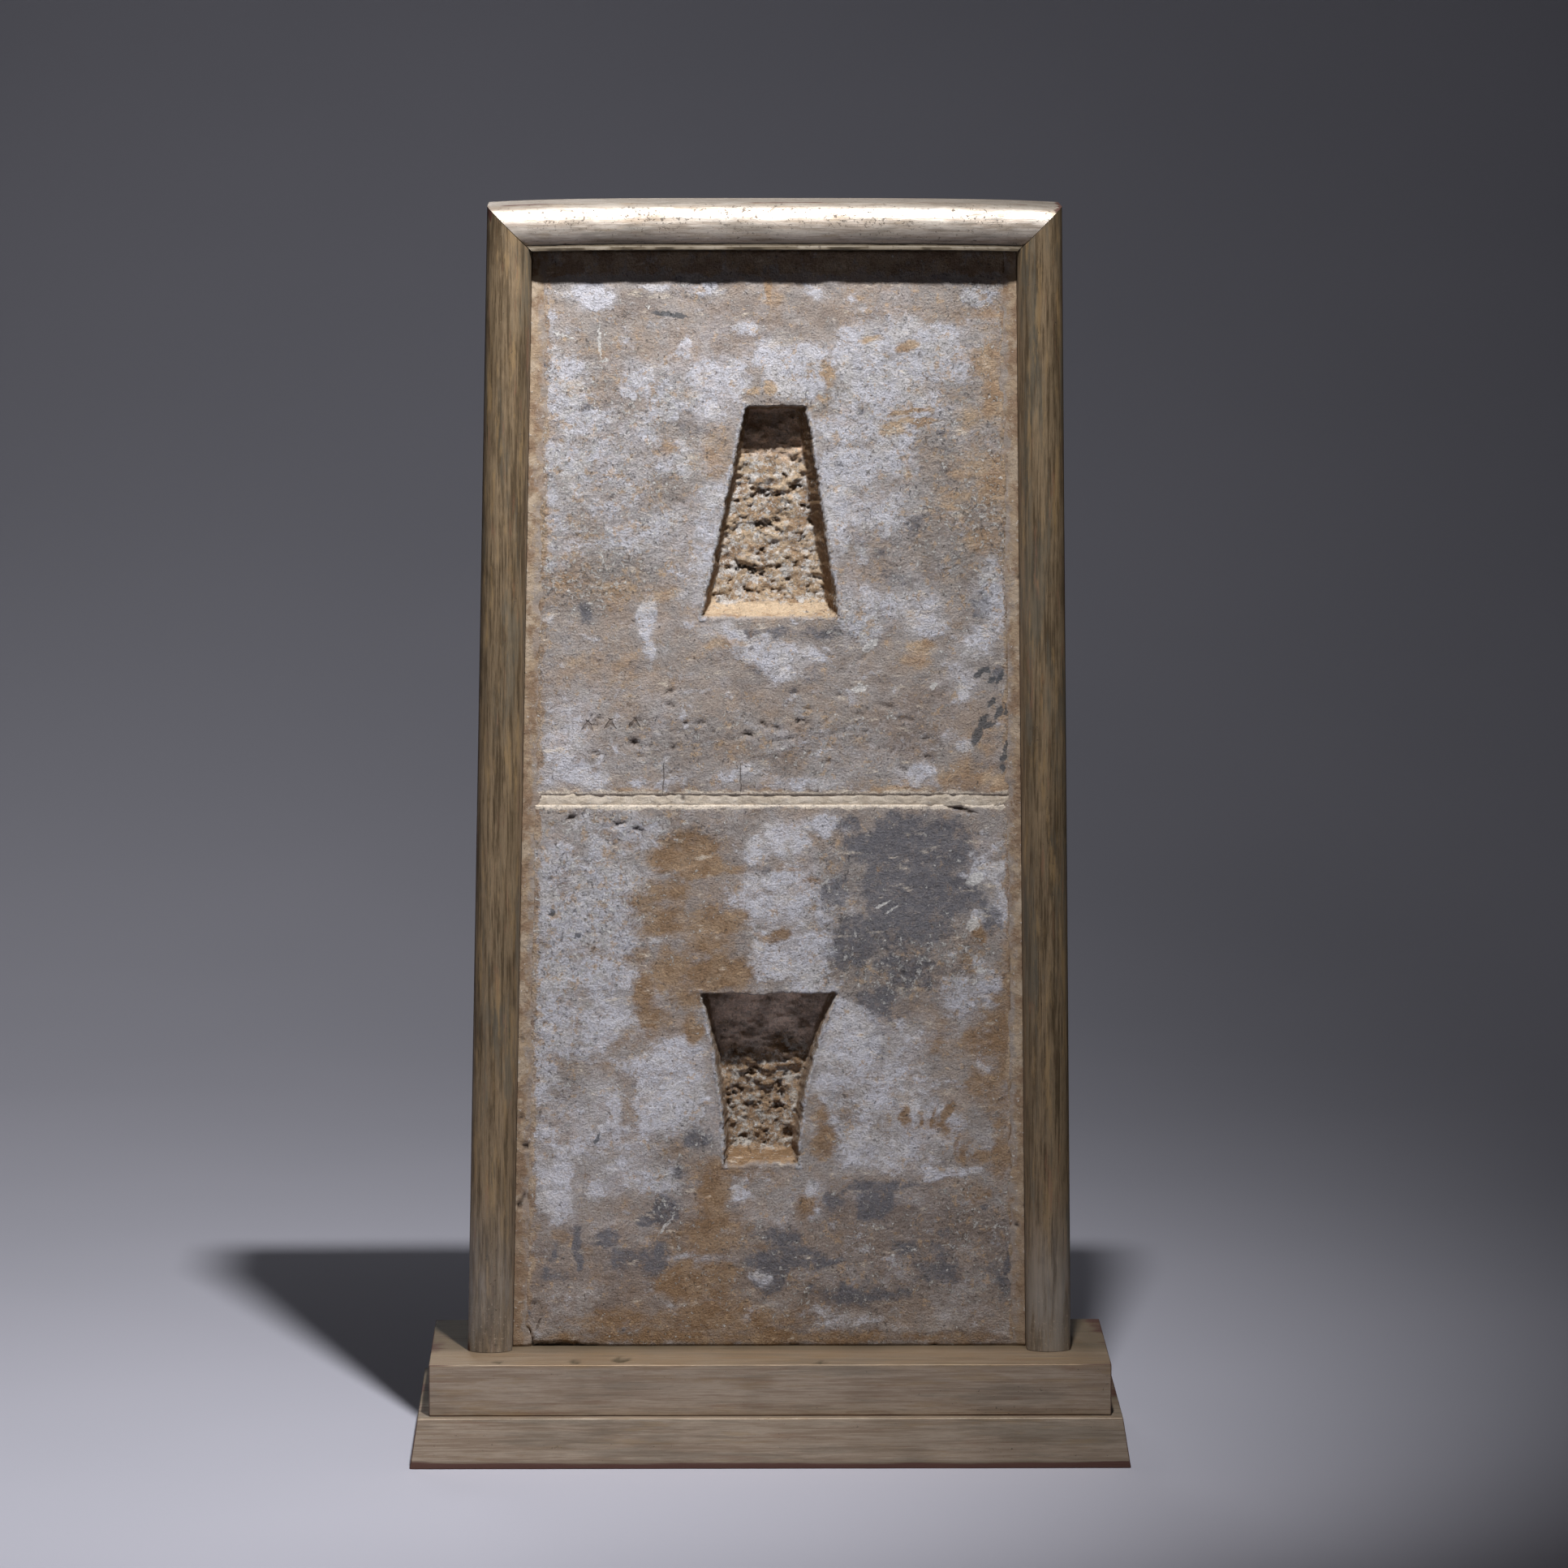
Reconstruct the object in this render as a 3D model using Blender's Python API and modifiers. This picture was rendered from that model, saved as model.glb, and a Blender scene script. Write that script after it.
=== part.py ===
"""Two carved bricks, one above the other, in a silvered wooden frame on a stepped base.

Metres, +Z up, origin at the middle of the base's underside. The face with the mortise
sockets looks to -Y. The other face carries a low relief. The two stiles lean in a little
towards the top, so widths are always asked for at a height above the frame's foot.
"""

import math
from collections import namedtuple

import bmesh
import bpy
from mathutils import Matrix, Vector, noise

# Clearances, and the angles in degrees at which an edge is worn or stays sharp
GAP = 0.0003
CUT_OVERSHOOT = 0.004
WELD_DISTANCE = 1e-6
WORN_EDGE_ANGLE = 40
SHARP_EDGE_ANGLE = 35

# Base
UPPER_STEP_WIDTH = 0.4755
UPPER_STEP_DEPTH = 0.173
UPPER_STEP_HEIGHT = 0.036
LOWER_STEP_MARGIN = 0.008
LOWER_STEP_HEIGHT = 0.0347
LOWER_STEP_FLARE = 0.0055
STEP_EDGE_WEAR = 0.0008

# Frame
FRAME_FOOT_WIDTH = 0.424
FRAME_HEIGHT = 0.8025
FRAME_DEPTH = 0.082
LEFT_LEAN = 0.0165
RIGHT_LEAN = 0.0100
MOULDING_WIDTH = 0.0312
BEAD_BULGE = 0.014
FILLET_WIDTH = 0.0030
FILLET_SET_BACK = 0.0075
BEAD_STEPS = 12

# Bricks and mortar
BRICK_THICKNESS = 0.048
LOWER_BRICK_HEIGHT = 0.3838
FACE_RECESS = 0.025
BRICK_EDGE_WEAR = 0.0012
JOINT_HEIGHT = 0.0062
JOINT_SET_BACK = 0.0008
SIDE_MORTAR_WIDTH = 0.008
SIDE_MORTAR_RISE = 0.0035
SIDE_MORTAR_STEPS = 4

# Mortise sockets. Foot and head are the widths left and right of the middle at the mouth,
# sill is the foot's height above the brick's own foot, and splay is how far each side wall
# comes in from the mouth to the floor.
Socket = namedtuple("Socket", "sill height depth foot head curve splay seed")
UPPER_SOCKET = Socket(
    sill=0.125, height=0.1475, depth=0.024, foot=(0.047, 0.049), head=(0.017, 0.026),
    curve=1.0, splay=0.008, seed=7.0)
LOWER_SOCKET = Socket(
    sill=0.129, height=0.1215, depth=0.030, foot=(0.0315, 0.0205), head=(0.048, 0.0477),
    curve=1.9, splay=0.004, seed=3.0)
SOCKET_LEDGE = 0.005
SOCKET_ROUGHNESS = 0.0028
SOCKET_COLUMNS = 9
SOCKET_ROWS = 13
CHISEL_MARK_SIZE = 0.022
CHISEL_GRAIN_SIZE = 0.009

# Low relief on the other face
BORDER_WIDTH = 0.026
FIELD_DEPTH = 0.007
FIELD_SLOPE = 0.003
ROSETTE_RADIUS = 0.098
PETALS = 8
BOSS_SHARE = 0.22
PETAL_MIDDLE_SHARE = 0.58
PETAL_LENGTH_SHARE = 0.30
PETAL_WIDTH_SHARE = 0.17
TIP_MIDDLE_SHARE = 0.87
TIP_LENGTH_SHARE = 0.13
TIP_WIDTH_SHARE = 0.08
CORNER_LEAF_INSET = 0.034
CORNER_LEAF_LENGTH = 0.023
CORNER_LEAF_WIDTH = 0.009
PETAL_SPREAD = 0.30
LEAF_POINT = -0.45
LESSER_HEIGHT_SHARE = 0.8
RELIEF_SINK = 0.0008
RELIEF_TOP_CLEARANCE = 0.0010
RELIEF_SEGMENTS = 12
RELIEF_RINGS = 6

# Levels and planes that follow from the sizes above
LOWER_STEP_TOP = LOWER_STEP_HEIGHT
UPPER_STEP_FOOT = LOWER_STEP_TOP + GAP
UPPER_STEP_TOP = UPPER_STEP_FOOT + UPPER_STEP_HEIGHT
FRAME_FOOT = UPPER_STEP_TOP + GAP
OPENING_HEIGHT = FRAME_HEIGHT - MOULDING_WIDTH
JOINT_SPACE = JOINT_HEIGHT + 2 * GAP
UPPER_BRICK_RISE = LOWER_BRICK_HEIGHT + JOINT_SPACE
UPPER_BRICK_HEIGHT = OPENING_HEIGHT - GAP - UPPER_BRICK_RISE
BRICK_FACE = -FRAME_DEPTH / 2 + FACE_RECESS
BRICK_BACK = BRICK_FACE + BRICK_THICKNESS
BRICK_INSET = SIDE_MORTAR_WIDTH + 2 * GAP
LEFT = -1
RIGHT = 1


def clear_scene():
    for item in list(bpy.data.objects):
        bpy.data.objects.remove(item, do_unlink=True)


def new_collection(name):
    collection = bpy.data.collections.new(name)
    bpy.context.scene.collection.children.link(collection)
    return collection


def surface(name, colour, roughness, metallic=0.0):
    material = bpy.data.materials.new(name)
    material.use_nodes = True
    shader = material.node_tree.nodes["Principled BSDF"]
    shader.inputs["Base Color"].default_value = (*colour, 1.0)
    shader.inputs["Roughness"].default_value = roughness
    shader.inputs["Metallic"].default_value = metallic
    return material


def outer_x(side, rise):
    """Outer face of a stile at a height above the frame's foot."""
    lean = LEFT_LEAN if side == LEFT else RIGHT_LEAN
    return side * (FRAME_FOOT_WIDTH / 2 - lean * rise / FRAME_HEIGHT)


def inner_x(side, rise, inset=0.0):
    """A line beside the stile's inner face, inset towards the middle."""
    return outer_x(side, rise) - side * (MOULDING_WIDTH + inset)


def extruded(outline, length):
    """A closed outline in X and Y, extruded from 0 to length along Z."""
    curve = bpy.data.curves.new("outline", "CURVE")
    curve.dimensions = "2D"
    curve.fill_mode = "BOTH"
    curve.extrude = length / 2
    spline = curve.splines.new("POLY")
    spline.points.add(len(outline) - 1)
    for point, (x, y) in zip(spline.points, outline):
        point.co = (x, y, 0.0, 1.0)
    spline.use_cyclic_u = True
    holder = bpy.data.objects.new("outline", curve)
    bpy.context.scene.collection.objects.link(holder)
    depsgraph = bpy.context.evaluated_depsgraph_get()
    flat = bpy.data.meshes.new_from_object(holder.evaluated_get(depsgraph))
    bm = bmesh.new()
    bm.from_mesh(flat)
    bmesh.ops.remove_doubles(bm, verts=bm.verts, dist=WELD_DISTANCE)
    bmesh.ops.translate(bm, verts=bm.verts, vec=(0, 0, length / 2))
    bpy.data.objects.remove(holder, do_unlink=True)
    bpy.data.meshes.remove(flat)
    bpy.data.curves.remove(curve)
    return bm


def mapped(bm, place):
    """Moves each point to the place that it stands for."""
    for vert in bm.verts:
        vert.co = place(vert.co)
    return bm


def finished(name, bm, collection, material=None, smooth=False):
    """The object that a mesh makes, with its faces turned outwards."""
    bm.normal_update()
    bmesh.ops.recalc_face_normals(bm, faces=bm.faces)
    mesh = bpy.data.meshes.new(name)
    bm.to_mesh(mesh)
    bm.free()
    item = bpy.data.objects.new(name, mesh)
    collection.objects.link(item)
    if material:
        mesh.materials.append(material)
    if smooth:
        mesh.shade_smooth()
        mesh.set_sharp_from_angle(angle=math.radians(SHARP_EDGE_ANGLE))
    return item


def add_bevel(item, width, segments):
    bevel = item.modifiers.new("worn edges", "BEVEL")
    bevel.width = width
    bevel.segments = segments
    bevel.limit_method = "ANGLE"
    bevel.angle_limit = math.radians(WORN_EDGE_ANGLE)


def add_boolean(item, other, operation):
    boolean = item.modifiers.new(other.name, "BOOLEAN")
    boolean.operation = operation
    boolean.solver = "EXACT"
    boolean.object = other


def as_cutter(item):
    item.hide_render = True
    item.display_type = "WIRE"
    return item


# Base

def tapered_box(foot_size, head_size, foot, height):
    """A block from a cube, its foot and its head of different sizes."""
    bm = bmesh.new()
    bmesh.ops.create_cube(bm, size=1.0)
    for vert in bm.verts:
        size = foot_size if vert.co.z < 0 else head_size
        vert.co = (vert.co.x * size[0], vert.co.y * size[1], foot + (vert.co.z + 0.5) * height)
    return bm


def build_base(collection, material):
    upper_size = (UPPER_STEP_WIDTH, UPPER_STEP_DEPTH)
    head_size = [size + 2 * LOWER_STEP_MARGIN for size in upper_size]
    foot_size = [size + 2 * LOWER_STEP_FLARE for size in head_size]
    lower = tapered_box(foot_size, head_size, 0.0, LOWER_STEP_HEIGHT)
    upper = tapered_box(upper_size, upper_size, UPPER_STEP_FOOT, UPPER_STEP_HEIGHT)
    for name, bm in (("base_lower_step", lower), ("base_upper_step", upper)):
        step = finished(name, bm, collection, material)
        add_bevel(step, STEP_EDGE_WEAR, 2)


# Frame

def moulding_profile():
    """Half-round and inner fillet on both faces: distance from the outer face, and depth."""
    bead = MOULDING_WIDTH - FILLET_WIDTH
    front = FRAME_DEPTH / 2
    points = []
    for step in range(BEAD_STEPS + 1):
        angle = math.pi * step / BEAD_STEPS
        across = bead / 2 * (1 - math.cos(angle))
        points.append((across, front - BEAD_BULGE * (1 - math.sin(angle))))
    points.append((bead, front - FILLET_SET_BACK))
    points.append((MOULDING_WIDTH, front - FILLET_SET_BACK))
    return points + [(across, -depth) for across, depth in reversed(points)]


def mitre_plane(side):
    """A point on a corner's mitre, and the direction from the stile towards the rail."""
    outer = Vector((outer_x(side, FRAME_HEIGHT), 0.0, FRAME_FOOT + FRAME_HEIGHT))
    inner = Vector((inner_x(side, OPENING_HEIGHT), 0.0, FRAME_FOOT + OPENING_HEIGHT))
    along = inner - outer
    towards_rail = Vector((side * along.z, 0.0, abs(along.x))).normalized()
    return outer, towards_rail


def cut_flat(bm, point, direction):
    """Takes off what lies beyond a plane in a direction, and closes the cut."""
    geometry = bm.verts[:] + bm.edges[:] + bm.faces[:]
    cut = bmesh.ops.bisect_plane(
        bm, geom=geometry, plane_co=point, plane_no=direction, clear_outer=True)
    edges = [item for item in cut["geom_cut"] if isinstance(item, bmesh.types.BMEdge)]
    bmesh.ops.edgeloop_fill(bm, edges=edges)


def build_stile(name, side, collection, material):
    def place(point):
        across, depth, rise = point
        return Vector((outer_x(side, rise) - side * across, depth, FRAME_FOOT + rise))

    bm = mapped(extruded(moulding_profile(), FRAME_HEIGHT), place)
    corner, towards_rail = mitre_plane(side)
    cut_flat(bm, corner - towards_rail * GAP / 2, towards_rail)
    finished(name, bm, collection, material, smooth=True)


def build_top_rail(name, collection, material):
    def place(point):
        across, depth, along = point
        return Vector((along - FRAME_FOOT_WIDTH / 2, depth, FRAME_FOOT + FRAME_HEIGHT - across))

    bm = mapped(extruded(moulding_profile(), FRAME_FOOT_WIDTH), place)
    for side in (LEFT, RIGHT):
        corner, towards_rail = mitre_plane(side)
        cut_flat(bm, corner + towards_rail * GAP / 2, -towards_rail)
    finished(name, bm, collection, material, smooth=True)


# Mortar

def side_mortar_profile():
    """Hollow fillet on both faces: distance from the stile, and depth."""
    points = []
    for step in range(SIDE_MORTAR_STEPS + 1):
        share = step / SIDE_MORTAR_STEPS
        rise = SIDE_MORTAR_RISE * (1 - share) ** 2
        points.append((share * SIDE_MORTAR_WIDTH, rise))
    front = [(across, BRICK_FACE - rise) for across, rise in points]
    back = [(across, BRICK_BACK + rise) for across, rise in reversed(points)]
    return front + back


def build_side_mortar(name, side, collection, material):
    def place(point):
        across, depth, rise = point
        return Vector((inner_x(side, rise, GAP + across), depth, FRAME_FOOT + rise))

    bm = mapped(extruded(side_mortar_profile(), OPENING_HEIGHT - GAP), place)
    finished(name, bm, collection, material)


def slab(rise, height, front, back):
    """A slab between the side mortars, standing at a height above the frame's foot."""
    outline = [
        (inner_x(LEFT, rise, BRICK_INSET), rise),
        (inner_x(RIGHT, rise, BRICK_INSET), rise),
        (inner_x(RIGHT, rise + height, BRICK_INSET), rise + height),
        (inner_x(LEFT, rise + height, BRICK_INSET), rise + height),
    ]

    def place(point):
        return Vector((point.x, front + point.z, FRAME_FOOT + point.y))

    return mapped(extruded(outline, back - front), place)


def build_joint(name, collection, material):
    bm = slab(
        LOWER_BRICK_HEIGHT + GAP, JOINT_HEIGHT,
        BRICK_FACE + JOINT_SET_BACK, BRICK_BACK - JOINT_SET_BACK)
    finished(name, bm, collection, material)


# Bricks

def recess_cutter(name, columns, rows, place, collection):
    """A flaring recess: a floor of columns and rows, a mouth and a collar outside it.

    place(across, up, level) gives a point, with across and up from 0 to 1 and level 0 on
    the floor, 1 at the mouth and 2 at the collar.
    """
    bm = bmesh.new()
    bmesh.ops.create_grid(bm, x_segments=columns, y_segments=rows, size=0.5)
    for _ in range(2):
        rim = [edge for edge in bm.edges if edge.is_boundary]
        grown = bmesh.ops.extrude_edge_only(bm, edges=rim)
        raised = [item for item in grown["geom"] if isinstance(item, bmesh.types.BMVert)]
        bmesh.ops.translate(bm, verts=raised, vec=(0, 0, 1))
    bmesh.ops.edgeloop_fill(bm, edges=[edge for edge in bm.edges if edge.is_boundary])
    bm = mapped(bm, lambda point: place(point.x + 0.5, point.y + 0.5, round(point.z)))
    return as_cutter(finished(name, bm, collection))


def chisel_depth(x, rise, seed):
    """How far the chisel went past the floor's mean depth."""
    marks = noise.noise(Vector((x / CHISEL_MARK_SIZE, rise / CHISEL_MARK_SIZE, seed)))
    grain = noise.noise(Vector((x / CHISEL_GRAIN_SIZE, rise / CHISEL_GRAIN_SIZE, seed)))
    return SOCKET_ROUGHNESS * (marks + grain)


def socket_cutter(name, socket, brick_rise, collection):
    """Cutter of one mortise, narrower at its rough floor than at its mouth."""
    def width(index, up):
        return socket.foot[index] + (socket.head[index] - socket.foot[index]) * up ** socket.curve

    def place(across, up, level):
        on_floor = level == 0
        inset = socket.splay if on_floor else 0.0
        left = -width(0, up) + inset
        right = width(1, up) - inset
        x = left + (right - left) * across
        ledge = SOCKET_LEDGE if on_floor else 0.0
        rise = brick_rise + socket.sill + ledge + (socket.height - ledge) * up
        y = BRICK_FACE - (CUT_OVERSHOOT if level == 2 else 0.0)
        if on_floor:
            y += socket.depth
        if on_floor and min(across, 1 - across, up, 1 - up) > GAP:
            y += chisel_depth(x, rise, socket.seed)
        return Vector((x, y, FRAME_FOOT + rise))

    return recess_cutter(name, SOCKET_COLUMNS, SOCKET_ROWS, place, collection)


def field_cutter(name, brick_rise, brick_height, collection):
    """Cutter of the sunk field that leaves a plain raised border round the relief."""
    levels = (BRICK_BACK - FIELD_DEPTH, BRICK_BACK, BRICK_BACK + CUT_OVERSHOOT)

    def place(across, up, level):
        inset = BORDER_WIDTH + (FIELD_SLOPE if level == 0 else 0.0)
        rise = brick_rise + inset + (brick_height - 2 * inset) * up
        left = inner_x(LEFT, rise, BRICK_INSET + inset)
        right = inner_x(RIGHT, rise, BRICK_INSET + inset)
        return Vector((left + (right - left) * across, levels[level], FRAME_FOOT + rise))

    return recess_cutter(name, 1, 1, place, collection)


def add_leaf(bm, middle, angle, length, width, height, spread):
    """One domed leaf, pointing away at an angle from +X, its outer end broader by spread."""
    made = bmesh.ops.create_uvsphere(
        bm, u_segments=RELIEF_SEGMENTS, v_segments=RELIEF_RINGS, radius=1.0,
        matrix=Matrix.Rotation(math.pi / 2, 4, "Y"))
    turn = Matrix.Translation(middle) @ Matrix.Rotation(-angle, 4, "Y")
    for vert in made["verts"]:
        along, out, across = vert.co
        across *= width * (1 + spread * along)
        vert.co = turn @ Vector((along * length, out * height, across))


def relief_motif(name, brick_rise, brick_height, collection):
    """A rosette with a boss, petals and tips, and a leaf in each corner of the field."""
    height = FIELD_DEPTH + RELIEF_SINK - RELIEF_TOP_CLEARANCE
    lesser = height * LESSER_HEIGHT_SHARE
    y = BRICK_BACK - FIELD_DEPTH - RELIEF_SINK
    middle_rise = brick_rise + brick_height / 2
    middle_x = (inner_x(LEFT, middle_rise) + inner_x(RIGHT, middle_rise)) / 2
    middle = Vector((middle_x, y, FRAME_FOOT + middle_rise))
    radius = ROSETTE_RADIUS

    def ray(angle, share):
        way = Vector((math.cos(angle), 0.0, math.sin(angle)))
        return middle + way * share * radius

    bm = bmesh.new()
    boss = BOSS_SHARE * radius
    add_leaf(bm, middle, 0.0, boss, boss, height, 0.0)
    for petal in range(PETALS):
        angle = 2 * math.pi * petal / PETALS
        add_leaf(
            bm, ray(angle, PETAL_MIDDLE_SHARE), angle,
            PETAL_LENGTH_SHARE * radius, PETAL_WIDTH_SHARE * radius, height, PETAL_SPREAD)
        between = angle + math.pi / PETALS
        add_leaf(
            bm, ray(between, TIP_MIDDLE_SHARE), between,
            TIP_LENGTH_SHARE * radius, TIP_WIDTH_SHARE * radius, lesser, LEAF_POINT)
    inset = BORDER_WIDTH + FIELD_SLOPE + CORNER_LEAF_INSET
    for side in (LEFT, RIGHT):
        for rise in (brick_rise + inset, brick_rise + brick_height - inset):
            corner = Vector((inner_x(side, rise, BRICK_INSET + inset), y, FRAME_FOOT + rise))
            away = corner - middle
            add_leaf(
                bm, corner, math.atan2(away.z, away.x),
                CORNER_LEAF_LENGTH, CORNER_LEAF_WIDTH, lesser, LEAF_POINT)
    return as_cutter(finished(name, bm, collection))


def build_brick(name, rise, height, socket, collection, cutters, material):
    brick = finished(name, slab(rise, height, BRICK_FACE, BRICK_BACK), collection, material)
    add_bevel(brick, BRICK_EDGE_WEAR, 1)
    add_boolean(brick, socket_cutter(name + "_socket", socket, rise, cutters), "DIFFERENCE")
    add_boolean(brick, field_cutter(name + "_field", rise, height, cutters), "DIFFERENCE")
    add_boolean(brick, relief_motif(name + "_motif", rise, height, cutters), "UNION")


def main():
    clear_scene()
    model = new_collection("framed_brick_panel")
    cutters = new_collection("cutters")
    brick = surface("brick", (0.36, 0.33, 0.31), 0.9)
    mortar = surface("mortar", (0.50, 0.41, 0.29), 0.95)
    frame_wood = surface("frame_wood", (0.22, 0.18, 0.13), 0.45, 0.35)
    base_wood = surface("base_wood", (0.26, 0.21, 0.16), 0.5, 0.3)

    build_base(model, base_wood)
    build_stile("frame_left_stile", LEFT, model, frame_wood)
    build_stile("frame_right_stile", RIGHT, model, frame_wood)
    build_top_rail("frame_top_rail", model, frame_wood)
    build_side_mortar("mortar_left", LEFT, model, mortar)
    build_side_mortar("mortar_right", RIGHT, model, mortar)
    build_joint("mortar_joint", model, mortar)
    build_brick("brick_lower", 0.0, LOWER_BRICK_HEIGHT, LOWER_SOCKET, model, cutters, brick)
    build_brick(
        "brick_upper", UPPER_BRICK_RISE, UPPER_BRICK_HEIGHT, UPPER_SOCKET, model, cutters, brick)


main()
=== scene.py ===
"""Looks of the framed brick panel: worn faces, mortar, silvered wood, stage, light and camera.

Metres, in the CAD's frame. The face with the mortise sockets looks to -Y. Each piece stands
for one CAD node and takes its outline from that node's box.
"""

import math
from collections import namedtuple
from functools import reduce

import bmesh
import bpy
import numpy as np
from mathutils import Matrix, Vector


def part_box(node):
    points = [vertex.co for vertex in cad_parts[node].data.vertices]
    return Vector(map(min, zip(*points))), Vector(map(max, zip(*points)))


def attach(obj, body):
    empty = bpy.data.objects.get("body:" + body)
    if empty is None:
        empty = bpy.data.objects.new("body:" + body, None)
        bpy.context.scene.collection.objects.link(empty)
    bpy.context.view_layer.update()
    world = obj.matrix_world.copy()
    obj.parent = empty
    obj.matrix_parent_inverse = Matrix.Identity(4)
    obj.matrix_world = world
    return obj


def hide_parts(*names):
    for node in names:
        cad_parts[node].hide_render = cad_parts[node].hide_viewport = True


# Camera, fitted to the photograph's perspective
PHOTO_WIDTH = 1932
FOCAL_LENGTH_PIXELS = 10271.8
SENSOR = 36.0
CAMERA_PLACE = (-0.0643, -5.80, 1.1683)
CAMERA_YAW = 0.01287
CAMERA_PITCH = -0.12017
CAMERA_ROLL = 0.00072
CAMERA_REACH = 50.0

# Light and stage
Lamp = namedtuple("Lamp", "kind power radius place aim")
KEY = Lamp("SPOT", 168.0, 0.042, (0.094, -0.896, 1.952), (-0.794, 0.328, 0.0))
KEY_HALF_ANGLE = 0.689
GLOW = Lamp("POINT", 15.0, 0.30, (-0.478, 2.18, 1.61), (-0.478, 4.0, 0.5))
FRONT = Lamp("POINT", 5.5, 0.60, (0.0, -4.0, 0.60), (0.0, 0.0, 0.5))
FRONT_COLOUR = (1.0, 0.88, 0.78)
FILL_COLOUR = (0.92, 0.94, 1.08)
FILL_STRENGTH = 0.013
STAGE_HALF_WIDTH = 8.0
STAGE_FRONT = -7.0
STAGE_BEND_START = 1.60
STAGE_BEND_RADIUS = 3.41
STAGE_HEIGHT = 6.0
STAGE_BEND_POINTS = 33
STAGE_COLUMNS = 9

# Bricks: spacing of the mesh, and wear of the face
FINE_STEP = 0.00115
COARSE_STEP = 0.0016
BACK_STEP = 0.0030
FINE_MARGIN = 0.006
FACE_WAVES = 0.0006
FACE_GRAIN = 0.00022
CRUST_RELIEF = 0.00030
EDGE_WEAR = 0.0004
STAIN_WARP = 0.004
MARK_WARP = 0.0012
HOLLOW_REACH = 12
CHIP_DEPTH = 0.005
LAYER_DEPTH = 0.0004

# Sockets, in the same sizes as the CAD. walls are how far the left, right, foot and head
# walls come in from the mouth to the floor. Above vault, a share of the height, the ground is
# smooth.
Socket = namedtuple(
    "Socket", "sill height depth foot head curve walls pit_rows vault lump roughness seed")
UPPER_SOCKET = Socket(
    sill=0.125, height=0.1475, depth=0.024, foot=(0.047, 0.049), head=(0.017, 0.026),
    curve=1.0, walls=(0.0042, 0.0090, 0.0120, 0.004), pit_rows=(0.211, 0.190, 0.158),
    vault=0.76, lump=0.009, roughness=0.0028, seed=7)
LOWER_SOCKET = Socket(
    sill=0.129, height=0.1215, depth=0.030, foot=(0.0315, 0.0205), head=(0.048, 0.0477),
    curve=1.9, walls=(0.0035, 0.0045, 0.0105, 0.003), pit_rows=(0.176, 0.166, 0.147),
    vault=0.66, lump=0.009, roughness=0.0024, seed=3)

# Places on the face: x from the panel's middle and z from the ground. Each stain is its place,
# half width and half height, all in millimetres, and how strongly it covers, in tenths.
Nick = namedtuple("Nick", "x z length width turn depth")
Stroke = namedtuple("Stroke", "x z length width turn")


def marks(kind, *rows):
    return tuple(kind(*row) for row in rows)


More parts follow.
